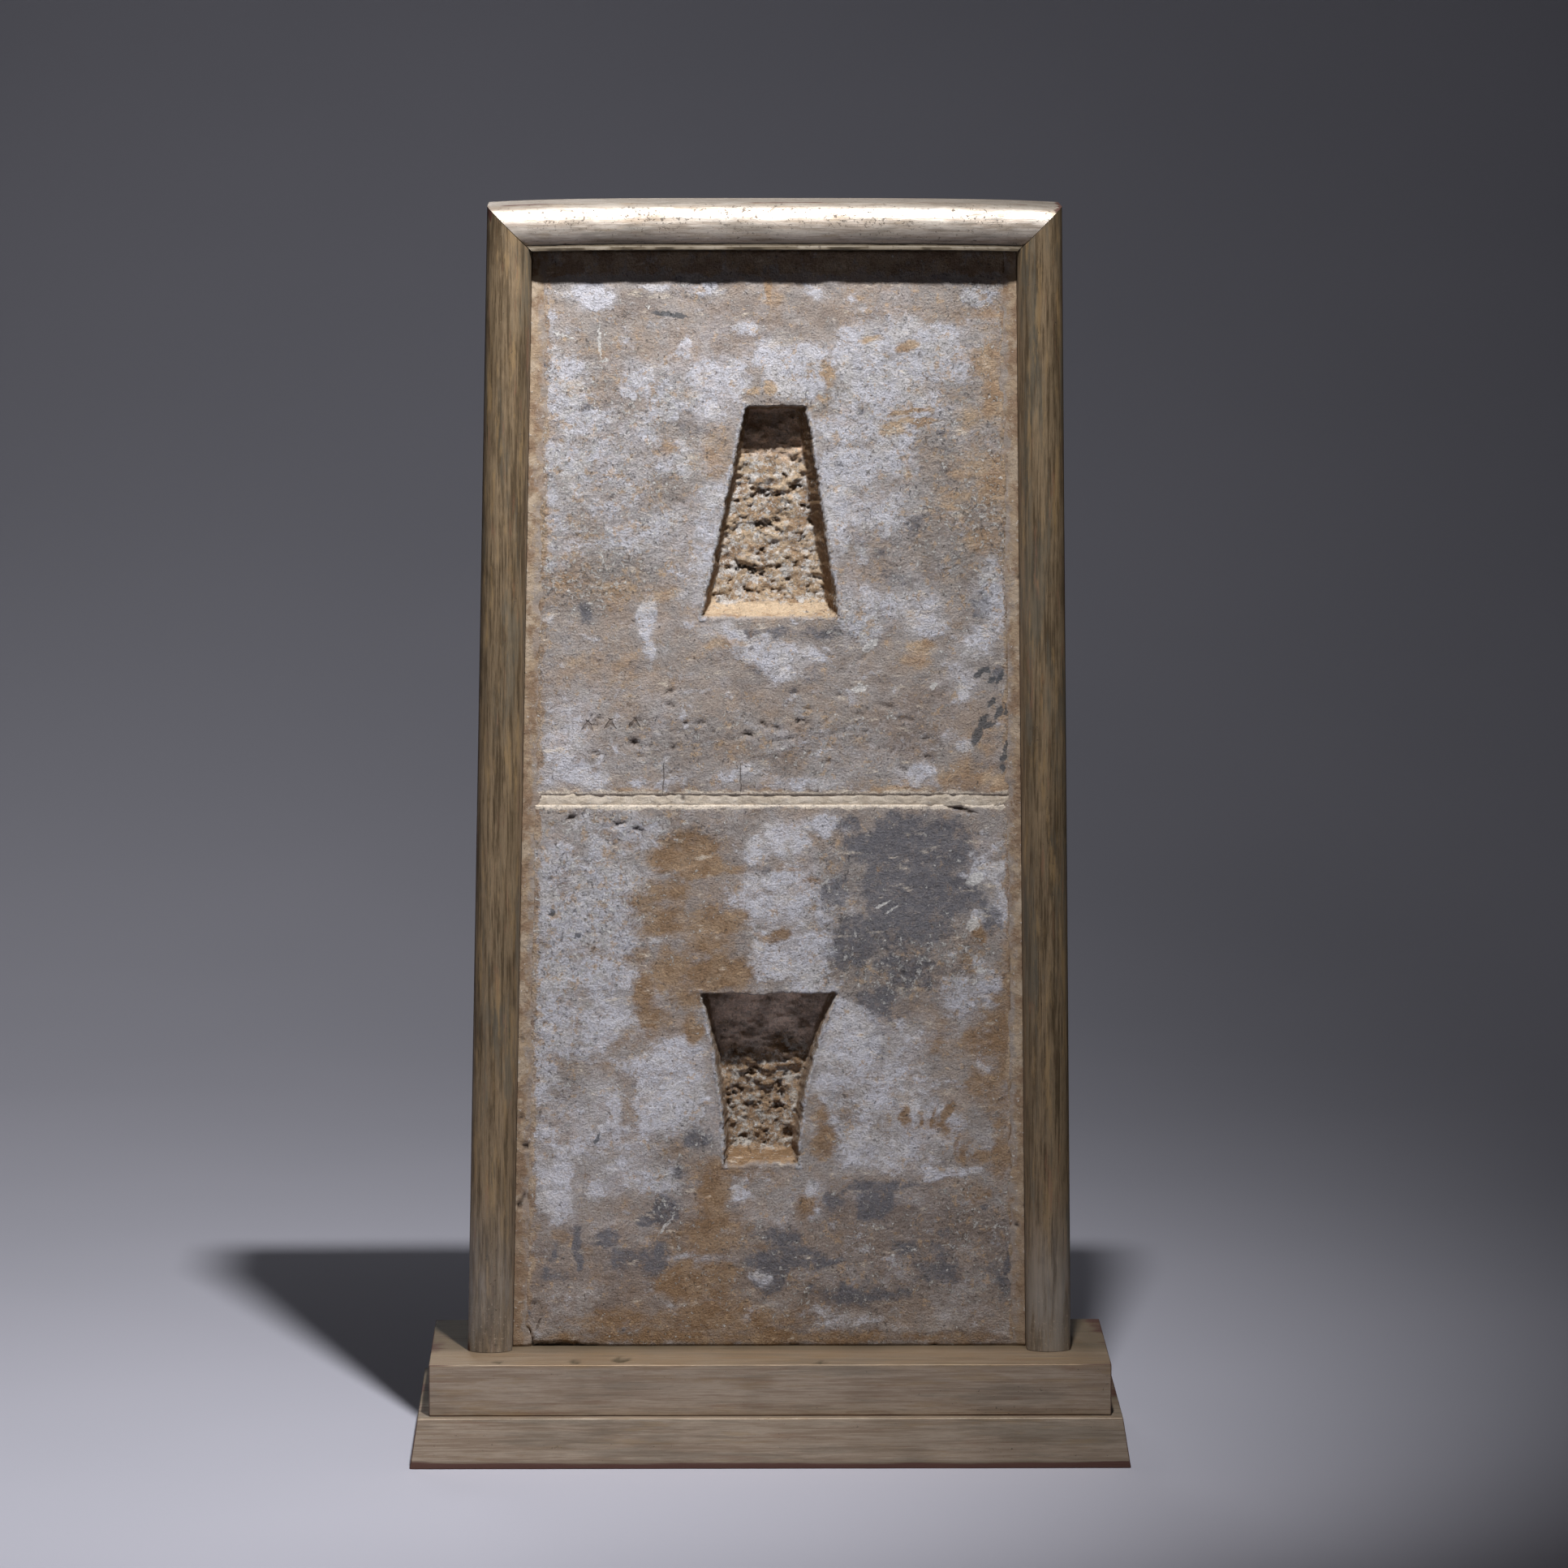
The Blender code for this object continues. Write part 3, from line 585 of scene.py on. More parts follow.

# Tarnish, and also the colour of painted shade on the silvered wood
TARNISH_AND_SHADE = (0.105, 0.078, 0.045)
GOLDEN = (0.330, 0.215, 0.100)
RUSTY = (0.240, 0.120, 0.070)
# Painted warm light on the top faces of a step
PAINTED_TOP_WARMTH = (0.400, 0.265, 0.150)
OLIVE = (0.165, 0.155, 0.125)
BOLE = (0.095, 0.035, 0.026)
UMBER = (0.045, 0.030, 0.020)
GESSO = (0.600, 0.500, 0.390)
DUST = (0.325, 0.298, 0.272)

PAPER = (0.560, 0.558, 0.640)
PAPER_PALE = (0.585, 0.580, 0.665)


def socket_colour(paint, soft, laid, palette):
    """A socket's sandy ground with pale crumbs, painted shade in its pits, a mottled smooth upper
    ground whose colour stands in for the light in the socket's shadow, and a streaked ledge.
    """
    sand = paint.mixed(soft.ramp(0.42, 0.62), palette.sand, palette.dark)
    sand = sand.covered(palette.dark, laid.ramp(0.42, 0.60, 0.0, 0.35))
    chalk = paint.noise(0.0075, 8, 0.74, shift=31.0).ramp(0.48, 0.56)
    sand = sand.covered(palette.chalk, chalk * paint.attribute("floor") * 0.88)
    ledge = paint.attribute("ledge")
    streak = (paint.noise(0.0036, 6, 0.70, (6, 1, 1), 33.0) + ledge * 0.22).ramp(0.50, 0.64)
    sand = sand.covered(palette.streak, streak * ledge.ramp(0.0, 0.1) * 0.85)
    # The smooth upper ground lies in the socket's shadow: its colour is painted shade in the upper
    # socket and painted fill light in the lower one
    pale_vault = [1.4 * value for value in palette.vault]
    dark_vault = [0.5 * value for value in palette.vault]
    vault_mottle = paint.noise(0.0110, 7, 0.70, (1.6, 1, 1), 35.0).ramp(0.36, 0.64)
    vault = paint.mixed(vault_mottle, dark_vault, pale_vault)
    sand = sand.covered(vault, paint.attribute("vault") * 0.80)
    sand = sand.covered(palette.wall, paint.attribute("wall") * 0.85)
    # Painted shade, warm brown, in the pits of the ground
    return sand.covered(PIT_SHADE_BROWN, paint.attribute("pit") * 0.80)


def brick_material(name, ink, scratches, cuts, palette):
    """Old fired clay under lime, ochre and slate-coloured stains."""
    paint = Paint(name)
    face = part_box("brick_upper")[0].y
    soft = paint.noise(0.016, 6, 0.62, shift=2.3)
    crumb = paint.noise(0.0036, 6, 0.74)
    grain = paint.noise(0.0013, 3, 0.6)
    laid = paint.noise(0.0018, 5, 0.68, stretch=(3, 1, 1))
    crust = paint.attribute("crust")

    colour = paint.mixed(paint.noise(0.050, 5, 0.6).ramp(0.40, 0.60), CLAY, CLAY_WARM)
    colour = colour.covered(CLAY_GREY, soft.ramp(0.42, 0.62, 0.0, 0.7))
    earth = paint.film("earth", 0.22, (0.48, 0.76), 0.026, 5.1, (1.8, 1, 1))
    colour = colour.covered(EARTH, earth * 0.85)
    slate = paint.film("slate", 0.28, (0.565, 0.73), 0.018, 7.7)
    slate = slate * crumb.ramp(0.60, 0.50, 0.62, 0.88)
    colour = colour.covered(SLATE, slate)
    lime = paint.film("lime", 0.24, (0.54, 0.67), 0.018, 11.9, (1.3, 1, 1), under="slate")
    haze = paint.film("lime", 0.28, (0.46, 0.76), 0.034, 13.1, under="slate")
    lime_share = (lime * 0.90).most(haze * 0.55) * crumb.ramp(0.36, 0.50, 0.45, 1.0)
    colour = colour.covered(paint.mixed(soft.ramp(0.46, 0.66), LIME, LIME_WARM), lime_share)
    ochre = paint.film("ochre", 0.30, (0.515, 0.80), 0.017, 17.3, (1.3, 1, 1), under="slate")
    ochre_colour = paint.mixed(soft.ramp(0.42, 0.60), palette.ochre, palette.pale_ochre)
    colour = colour.covered(ochre_colour, ochre * 0.94)
    colour = colour.covered(
        socket_colour(paint, soft, laid, palette), paint.attribute("socket"))

    bed = paint.film("bed", 0.28, (0.56, 0.70), 0.008, 37.0, (2.5, 1, 1))
    # Sandy mortar smeared beside the stiles, and painted shade in the strip under the rail
    side_smear_and_shade = paint.film("side_smear_and_shade", 0.22, (0.58, 0.70), 0.009, 41.0, (1, 1, 1.6))
    smear_and_shade_colour = paint.mixed(soft.ramp(0.44, 0.58), SANDY, SANDY_DARK)
    colour = colour.covered(smear_and_shade_colour, side_smear_and_shade * 0.85).covered(CREAM, bed * 0.85)

    white = (paint.noise(0.0036, 5, 0.74, shift=19.0) + crust * 0.075).ramp(0.610, 0.665)
    colour = colour.covered(CRUMB_WHITE, white * 0.70)
    rust = paint.noise(0.0060, 5, 0.72, shift=23.0) + crust * 0.060
    rust = rust.ramp(0.60, 0.65, 0.0, 0.60) * slate.ramp(0.1, 0.6, 1.0, 0.25)
    colour = colour.covered(RUST_FLECK, rust)
    dark = (paint.noise(0.0030, 5, 0.74, shift=29.0) + crust * -0.050).ramp(0.375, 0.325)
    colour = colour.covered(CRUMB_DARK, dark * 0.65)

    ragged = paint.warped_place(0.0030, 0.0050)
    chipped = paint.warped_place(0.0050, 0.0030)
    cut = paint.strokes_mask(chipped, cuts, face)
    colour = colour.covered(INK, paint.strokes_mask(ragged, ink, face) * 0.80)
    colour = colour.covered(CRUMB_WHITE, paint.strokes_mask(ragged, scratches, face) * 0.75)
    # Soot in the cuts, then painted shade in the small pits of the face
    colour = colour.covered(SOOT_AND_SHADE, cut * 0.60).covered(SOOT_AND_SHADE, paint.attribute("hollow_shade") * 0.55)
    shade = grain.ramp(0.25, 0.75, 0.86, 1.26) * laid.ramp(0.3, 0.7, 0.93, 1.07)
    colour = paint.pair("ShaderNodeVectorMath", "MULTIPLY", colour, shade)

    heights = (crumb * (crust * 0.8 + 0.5) + grain * 0.40 + lime * 0.12 + white * 0.30
               + dark * -0.45 + laid * 0.20 + cut * -0.7)
    return paint.finish(
        colour, crumb.ramp(0.3, 0.7, 0.95, 0.78), {"Specular IOR Level": 0.25},
        heights, 0.0022, 0.90)


def mortar_material(name, pale, dark, patches):
    """Sandy lime mortar with darker crumbs, giving way to clay towards the bricks."""
    paint = Paint(name)
    mottle = paint.noise(0.014, 6, 0.68)
    crumb = paint.noise(0.0034, 6, 0.76)
    colour = paint.mixed(mottle.ramp(0.42, 0.58), pale, dark)
    cream = paint.noise(0.018, 6, 0.68, shift=3.7).ramp(0.50, 0.60)
    colour = colour.covered(CREAM_DARK, cream * patches)
    colour = colour.covered(SANDY_DARK, paint.attribute("low") * 0.55)
    clay = paint.film("beside", 0.35, (0.62, 0.78), 0.009, 5.9, (1, 1, 1.6))
    clay_colour = paint.mixed(mottle.ramp(0.44, 0.56), CLAY, CLAY_WARM)
    colour = colour.covered(clay_colour, clay * 0.9)
    colour = colour.covered(SOOT_AND_SHADE, crumb.ramp(0.36, 0.31, 0.0, 0.8))
    colour = colour.covered(CRUMB_WHITE, crumb.ramp(0.60, 0.66, 0.0, 0.7))
    # Painted shade in the mortar's pits
    colour = colour.covered(SOOT_AND_SHADE, paint.attribute("hollow_shade") * 0.85)
    return paint.finish(
        colour, mottle.ramp(0.3, 0.7, 0.95, 0.82), {"Specular IOR Level": 0.2},
        crumb, 0.0016, 0.9)


def silvered_material(name, stretch, silver, dull, metallic, grime, spotting, patchy):
    """Aged silver leaf, toned brown, rubbed through along the edges. stretch is its grain,
    grime and spotting how much dirt and how many dark specks it has, and patchy how much of
    its mottling lies in patches across the grain."""
    paint = Paint(name)
    short = [max(1, along / 5) for along in stretch]
    fine = paint.noise(0.0010, 5, 0.68, stretch)
    streak = paint.noise(0.0030, 7, 0.72, [max(1, along / 2) for along in stretch], 3.1)
    patch = paint.noise(0.0100, 8, 0.74, short, 5.3)
    speck = paint.noise(0.0022, 5, 0.74, shift=7.9)
    # The shade attribute lays tarnish colour on: part grime, part painted shade from the pieces
    shade = paint.attribute("shade")

    tone = fine * 0.30 + streak * (0.70 - patchy) + patch * patchy
    olive = paint.noise(0.014, 7, 0.70, short, 9.1).ramp(0.50, 0.62) * grime * 0.7
    tarnish = (streak + fine * 0.6).ramp(0.84, 0.98) * grime
    gilt = paint.noise(0.0070, 7, 0.72, short, 11.7).ramp(0.53, 0.63) * grime * 0.8
    rust = paint.noise(0.0060, 7, 0.74, short, 17.9).ramp(0.57, 0.65) * grime * 0.7
    dust = paint.attribute("dust") * patch.ramp(0.40, 0.58, 0.35, 0.85)
    spots = (speck + patch * 0.4).ramp(0.540 + spotting, 0.490 + spotting)
    bare = (paint.attribute("bare") + speck * 0.9).ramp(0.85, 1.05)
    rubbed = (paint.attribute("worn") + streak * 0.9).ramp(1.00, 1.25)
    colour = paint.mixed(tone.ramp(0.43, 0.57), dull, silver)
    for layer, share in (
            (PAINTED_TOP_WARMTH, paint.attribute("painted_top_warmth") * 0.55), (OLIVE, olive), (TARNISH_AND_SHADE, tarnish),
            (GOLDEN, gilt), (RUSTY, rust), (DUST, dust), (TARNISH_AND_SHADE, shade * 0.95),
            (UMBER, spots * 0.7), (GESSO, bare * 0.85), (BOLE, rubbed * 0.9)):
        colour = colour.covered(layer, share)

    cover = tarnish + gilt + rust + dust + shade + rubbed + spots + bare
    return paint.finish(
        colour, (streak + speck * 0.6).ramp(0.6, 1.0, 0.50, 0.64),
        {"Metallic": cover.ramp(0.0, 1.0, metallic, 0.1)},
        fine * 0.4 + streak * 0.6 + spots * -0.5, 0.0006, 0.50)


def stage_material():
    paint = Paint("stage_paper")
    colour = paint.mixed(paint.noise(0.6, 2).ramp(0.3, 0.7), PAPER, PAPER_PALE)
    fibre = paint.noise(0.004, 2)
    return paint.finish(
        colour, fibre.ramp(0.3, 0.7, 0.85, 0.95), {"Specular IOR Level": 0.2})


# Bricks

def stain_field(x, z, stains, seed):
    """Soft ragged stains, the strongest one where they meet."""
    across = 1000 * (x + STAIN_WARP * rough(x, z, 0.02, seed))
    up = 1000 * (z + STAIN_WARP * rough(x, z, 0.02, seed + 20))
    total = np.zeros(np.shape(x))
    for middle_x, middle_z, half_width, half_height, tenths in stains:
        reach = np.sqrt(((across - middle_x) / half_width) ** 2
                        + ((up - middle_z) / half_height) ** 2)
        total = np.maximum(total, tenths / 10 * smooth_step(reach, 1.6, 0.4))
    return total


def turned(x, z, mark):
    """Distances along and across a mark that lies at an angle."""
    along = (x - mark.x) * math.cos(mark.turn) + (z - mark.z) * math.sin(mark.turn)
    beside = (z - mark.z) * math.cos(mark.turn) - (x - mark.x) * math.sin(mark.turn)
    return along, beside


def nick_depth(x, z, nick):
    """A shallow gouge with a level bottom."""
    along, beside = turned(x, z, nick)
    reach = (along / nick.length) ** 2 + (beside / nick.width) ** 2
    return nick.depth * np.clip(1.3 * (1 - reach), 0.0, 1.0)


def caret_strokes():
    """Three small marks of two strokes each."""
    strokes = []
    for x, z in CARETS:
        for turn in (CARET_TURN, -CARET_TURN):
            offset = -math.copysign(0.6 * CARET_ARM * math.cos(turn), turn)
            strokes.append(Stroke(x + offset, z, CARET_ARM, CARET_WIDTH, turn))
    return tuple(strokes)


def scattered_nicks():
    """Broken rows of short nicks below the upper brick's socket."""
    nicks = []
    rng = np.random.default_rng(11)
    for _ in range(SCATTERED_NICKS):
        x = rng.uniform(*SCATTERED_SIDES)
        z = SCATTERED_LEVEL + SCATTERED_SPREAD * rng.standard_normal()
        turn, length = rng.uniform(-0.5, 0.5), rng.uniform(0.002, 0.006)
        nicks.append(Nick(x, z, length, rng.uniform(0.0010, 0.0020), turn, 0.0015))
    return tuple(nicks)


# Depth below the face, and the shares in which points are inside a socket, on its walls, its
# floor, its rim, its smooth upper ground, in a pit and up the ledge at its foot
Hole = namedtuple("Hole", "depth socket wall floor rim vault pit ledge")


def socket_relief(x, rise, socket):
    """The form of a socket cut into a brick's face."""
    up = np.clip((rise - socket.sill) / socket.height, 0.0, 1.0) ** socket.curve
    left, right = (foot + (head - foot) * up for foot, head in zip(socket.foot, socket.head))
    chips = 0.0010 * rough(x, rise, 0.018, socket.seed, 3) + 0.0006 * rough(
        x, rise, 0.005, socket.seed + 9, 3, 0.7)
    gaps = (x + left, right - x, rise - socket.sill, socket.sill + socket.height - rise)
    shares = [(gap + chips) / wall for gap, wall in zip(gaps, socket.walls)]
    ragged = 0.16 * rough(x / 1.6, rise, 0.014, socket.seed + 17, 4, 0.65)
    shares[2] = 1 - np.clip(1 - shares[2], 0.0, None) ** 1.8 + ragged * (shares[2] > 0.15)
    share = np.clip(np.minimum.reduce(shares), 0.0, 1.0)
    floor = smooth_step(share, 0.75, 1.0)
    uneven = 0.06 * rough(x, 0 * x, 0.018, socket.seed + 13, 3)
    high_up = (rise - socket.sill) / socket.height + uneven
    vault = smooth_step(high_up, socket.vault - 0.05, socket.vault + 0.05)
    broken = floor * smooth_step(gaps[2], 0.004, 0.016)
    cut, pits = chiselled(x, rise, socket)
    depth = socket.depth * share ** 0.9 + broken * cut * (1 - 0.8 * vault)
    inside = smooth_step(share, 0.02, 0.12)
    ledge = shares[2] <= share + 0.001
    streaks = 0.0008 * rough(x / 3.0, rise, 0.005, socket.seed + 19, 4, 0.6)
    depth = depth + streaks * ledge * smooth_step(share, 0.1, 0.4)
    wall = inside * (1 - floor) * (1 - ledge)
    rim = smooth_step(np.abs(np.minimum.reduce(gaps[:2])), 0.004, 0.0) * (
        np.minimum(gaps[2], gaps[3]) > -0.003)
    return Hole(
        depth, inside, wall, floor, rim, floor * vault, broken * pits * (1 - vault),
        inside * ledge * (1 - floor) * np.clip(shares[2], 0.0, 1.0))


def chiselled(x, rise, socket):
    """Depth of the socket's broken ground: crumbly, with steep pits mostly in rows. Also how
    far each point lies in a pit."""
    rows = sum(np.exp(-((rise - row) / 0.004) ** 2) for row in socket.pit_rows)
    ground = rough(x / 1.2, rise, socket.lump, socket.seed + 3, 5, 0.66)
    pits = smooth_step(ground - 0.42 * rows, -0.58, -1.02)
    shelves = rough(x / 1.3, rise * 1.2, socket.lump * 2.0, socket.seed + 5, 5, 0.62)
    crumbs = rough(x, rise, 0.0045, socket.seed + 7, 3, 0.65)
    return socket.roughness * (1.3 * pits + 0.45 * shelves + 0.24 * crumbs), pits


def edge_gap(x, z, low, high):
    """Distance from the nearest edge of a brick's face."""
    return np.minimum.reduce([
        x - brick_edge(LEFT, z), brick_edge(RIGHT, z) - x, z - low.z, high.z - z])


def edge_wear(x, z, low, high, seed):
    """Depth that the brick's worn and chipped edges lie behind its face."""
    chips = np.clip(rough(x, z, 0.018, seed, 3) - 0.50, 0.0, 1.0) * CHIP_DEPTH
    radius = EDGE_WEAR + chips
    short = np.clip(radius - edge_gap(x, z, low, high), 0.0, None)
    return radius - np.sqrt(np.clip(radius ** 2 - short ** 2, 0.0, None))


def front_relief(x, z, low, high, socket, nicks, crust, seed):
    """Depth of the face with the socket, and the socket's form."""
    waves = FACE_WAVES * rough(x, z, 0.07, seed, 3)
    grain = FACE_GRAIN * rough(x, z, 0.009, seed + 30, 3)
    layers = LAYER_DEPTH * smooth_step(rough(x, z, 0.035, seed + 60, 5, 0.6), 0.05, 0.15)
    crumbs = CRUST_RELIEF * crust * rough(x, z, 0.006, seed + 70, 2, 0.7)
    depth = waves + grain + layers + crumbs + edge_wear(x, z, low, high, seed + 90)
    moved_x = x + MARK_WARP * rough(x, z, 0.005, seed + 110, 3)
    moved_z = z + MARK_WARP * rough(x, z, 0.005, seed + 120, 3)
    for nick in nicks:
        depth = depth + nick_depth(moved_x, moved_z, nick)
    hole = socket_relief(x, z - low.z, socket)
    return depth * (1 - hole.socket) + hole.depth, hole


# Relief of the carved face, on the same plan as the CAD's
BORDER_WIDTH = 0.026
FIELD_DEPTH = 0.007
FIELD_SLOPE = 0.003
ROSETTE_RADIUS = 0.098
PETALS = 8
CORNER_INSET = 0.034
TOOL_MARKS = 0.0005
Leaf = namedtuple("Leaf", "x z turn length width height spread")

# Around the rosette: offset in petals, then reach, length and width in shares of its radius,
# height and spread. The leaf in a corner: length, width, height and spread.
BOSS_SHARE = 0.22
PETAL = (0.0, 0.58, 0.30, 0.17, 1.0, 0.30)
PETAL_TIP = (0.5, 0.87, 0.13, 0.08, 0.8, -0.45)
CORNER_LEAF = (0.023, 0.009, 0.8, -0.45)


def relief_leaves(low, high):
    """Boss, petals, tips and corner leaves of one brick."""
    middle_z = (low.z + high.z) / 2
    middle_x = (brick_edge(LEFT, middle_z) + brick_edge(RIGHT, middle_z)) / 2
    radius = ROSETTE_RADIUS
    boss = BOSS_SHARE * radius
    leaves = [Leaf(middle_x, middle_z, 0.0, boss, boss, 1.0, 0.0)]
    for petal in range(PETALS):
        for offset, reach, length, width, height, spread in (PETAL, PETAL_TIP):
            turn = 2 * math.pi * (petal + offset) / PETALS
            leaves.append(Leaf(
                middle_x + reach * radius * math.cos(turn),
                middle_z + reach * radius * math.sin(turn),
                turn, length * radius, width * radius, height, spread))
    inset = BORDER_WIDTH + FIELD_SLOPE + CORNER_INSET
    for side, sign in ((LEFT, 1), (RIGHT, -1)):
        for z in (low.z + inset, high.z - inset):
            x = brick_edge(side, z) + sign * inset
            turn = math.atan2(z - middle_z, x - middle_x)
            leaves.append(Leaf(x, z, turn, *CORNER_LEAF))
    return leaves


def leaf_height(x, z, leaf):
    """A domed leaf with a groove along its middle, from 0 to its height."""
    along, beside = turned(x, z, leaf)
    along = along / leaf.length
    beside = beside / (leaf.width * np.clip(1 + leaf.spread * along, 0.2, 2.0))
    dome = np.sqrt(np.clip(1 - along ** 2 - beside ** 2, 0.0, 1.0))
    vein = 0.22 * np.exp(-(beside / 0.13) ** 2) * (leaf.spread != 0)
    return leaf.height * dome * (1 - vein)


def back_relief(x, z, low, high, seed):
    """Depth of the carved face behind its border."""
    gaps = edge_gap(x, z, low, high) + 0.0006 * rough(x, z, 0.02, seed, 3)
    field = smooth_step(gaps, BORDER_WIDTH, BORDER_WIDTH + FIELD_SLOPE)
    raised = np.zeros(np.shape(x))
    for leaf in relief_leaves(low, high):
        raised = np.maximum(raised, leaf_height(x, z, leaf))
    tooled = TOOL_MARKS * rough(x, z, 0.008, seed + 5, 3)
    tooled = tooled + FACE_WAVES * rough(x, z, 0.07, seed, 2)
    depth = FIELD_DEPTH * field * (1 - 0.85 * raised)
    return np.maximum(depth + tooled, 0.0) + edge_wear(x, z, low, high, seed + 9)


def face_grid(low, high, columns, rows):
    """x and z of a brick's points, from columns and rows that are shares of its size."""
    z = low.z + (high.z - low.z) * rows[None, :] + 0 * columns[:, None]
    left, right = brick_edge(LEFT, z), brick_edge(RIGHT, z)
    return left + (right - left) * columns[:, None], z


def build_brick(name, node, socket, stains, nicks, material, seed):
    low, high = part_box(node)
    half = max(socket.foot + socket.head) + FINE_MARGIN
    sill, head = low.z + socket.sill, low.z + socket.sill + socket.height
    columns = graded(low.x, high.x, -half, half, FINE_STEP, COARSE_STEP)
    rows = graded(
        low.z, high.z, sill - FINE_MARGIN, head + FINE_MARGIN, FINE_STEP, COARSE_STEP)
    x, z = face_grid(
        low, high, (columns - low.x) / (high.x - low.x), (rows - low.z) / (high.z - low.z))
    fields = {kind: stain_field(x, z, places, seed + 40 * number)
              for number, (kind, places) in enumerate(stains.items())}
    depth, hole = front_relief(x, z, low, high, socket, nicks, fields["crust"], seed)
    fields["crust"] = np.maximum.reduce([
        fields["crust"], 1.3 * hole.rim, 0.8 * hole.floor * (1 - hole.vault)])
    fields["lime"] = np.maximum(fields["lime"], 0.9 * hole.rim)

    back_x, back_z = face_grid(low, high, *(
        np.linspace(0, 1, round(size / BACK_STEP)) for size in (high.x - low.x, high.z - low.z)))
    back_depth = back_relief(back_x, back_z, low, high, seed + 200)
    front = placed(x, low.y + depth, z)
    back = placed(back_x, high.y - back_depth, back_z)
    piece = new_piece(name, *brick_shell(front, back), material, node)

    kinds = {}
    for number, (kind, field) in enumerate(fields.items()):
        back_field = 0.35 + 0.55 * rough(back_x, back_z, 0.05, seed + 300 + number, 4)
        kinds[kind] = (field, back_field)
    for kind in ("socket", "wall", "floor", "vault", "pit", "ledge"):
        kinds[kind] = (getattr(hole, kind), np.zeros(back_x.shape))
    kinds["bed"], kinds["side_smear_and_shade"] = zip(seam_fields(x, z), seam_fields(back_x, back_z))
    # Painted shade in the small pits of both faces, from how far each point lies below its surroundings
    kinds["hollow_shade"] = (hollowness(depth) * (1 - hole.socket), hollowness(back_depth))
    for kind, (on_front, on_back) in kinds.items():
        set_attribute(piece, kind, np.concatenate([on_front.ravel(), on_back.ravel()]))
    return piece


def brick_shell(front, back):
    """Points and faces of a brick from the grids of its two faces, joined at their edges."""
    front_count = front[..., 0].size
    front_index = np.arange(front_count).reshape(front.shape[:2])
    back_index = front_count + np.arange(back[..., 0].size).reshape(back.shape[:2])
    faces = grid_faces(front_index) + grid_faces(back_index)
    for first, second in zip(grid_edges(front_index), grid_edges(back_index)):
        faces += stitched(first, second)
    return np.concatenate([front.reshape(-1, 3), back.reshape(-1, 3)]), faces


def hollowness(depth):
    """How far points lie in small pits, from 0 to 1."""
    return smooth_step(depth - blurred(depth, HOLLOW_REACH), 0.0001, 0.0016)


# How far mortar is smeared over a brick's face from the bed joint and from the two stiles,
# and how far painted shade reaches down from the rail, where each ends at the first distance
# and is full at the second
BED_SMEAR = 0.0055
STILE_SMEARS = (0.0100, 0.0060)
RAIL_SHADE_REACH = (0.0200, 0.0130)


def seam_fields(x, z):
    """Mortar smeared over a brick beside the bed joint and the stiles, and painted shade below the
    rail.
    """
    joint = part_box("mortar_joint")
    bed = smooth_step(np.maximum(z - joint[1].z, joint[0].z - z), BED_SMEAR, 0.0)
    left = smooth_step(x - brick_edge(LEFT, z), STILE_SMEARS[LEFT], 0.0)
    right = smooth_step(brick_edge(RIGHT, z) - x, STILE_SMEARS[RIGHT], 0.0)
    # Painted shade in the strip under the rail, where its shadow falls
    under_rail = smooth_step(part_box("frame_top_rail")[0].z - z, *RAIL_SHADE_REACH)
    return bed, np.maximum.reduce([left, right, under_rail])


# Mortar

def mortar_skin(across, along, share, thickness, seed):
    """Height of mortar over the bricks' face, with pits, sinking into it at the lips."""
    body = thickness * (1 - np.abs(2 * share - 1) ** 2.5) - 0.0005
    crumbs = 0.0005 * rough(across, along, 0.006, seed, 3)
    pits = 0.0030 * np.clip(rough(across, along, 0.012, seed + 7, 2) - 0.72, 0.0, 0.4)
    return body + crumbs - pits, pits


SKIN_COLUMNS = 13
SKIN_STEP = 0.0022
BED_THICKNESS = 0.0008
BED_LIP = 0.0017
SIDE_LAPS = (0.0040, 0.0030)


def mortar_bar(name, node, material, skins, pits, pit_limits, beside):
    """A bar of mortar from its front and back skin, with painted shade in its pits and how near clay
    lies.
    """
    def around(front, back):
        return np.concatenate([front, back[:, ::-1]], axis=1)

    points, faces = swept(around(*skins))
    piece = new_piece(name, points, faces, material, node)
    set_attribute(piece, "hollow_shade", smooth_step(around(*pits), *pit_limits))
    beside = beside + np.zeros(pits[0].shape)
    set_attribute(piece, "beside", around(beside, beside))
    return piece


def build_bed_joint(name, node, material):
    """The mortar bed between the bricks, pressed out into a ragged pale line."""
    low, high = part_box(node)
    share = np.linspace(0, 1, SKIN_COLUMNS)[None, :]
    x = np.linspace(low.x, high.x, round((high.x - low.x) / SKIN_STEP))[:, None] + 0 * share
    line = x[:, :1]
    skins = []
    pits = []
    for face, sign, seed in ((low.y, -1, 21), (high.y, 1, 51)):
        top = high.z + BED_LIP + BED_LIP * rough(line, 0 * line, 0.014, seed, 5)
        foot = low.z - BED_LIP + BED_LIP * rough(line, 0 * line, 0.014, seed + 9, 5)
        z = foot + (top - foot) * share
        height, pit = mortar_skin(x, z, share, BED_THICKNESS, seed)
        skins.append(placed(x, face + sign * height, z))
        pits.append(pit)
    beside = 0.70 * np.abs(2 * share - 1) ** 4
    return mortar_bar(name, node, material, skins, pits, (0.0002, 0.0012), beside)


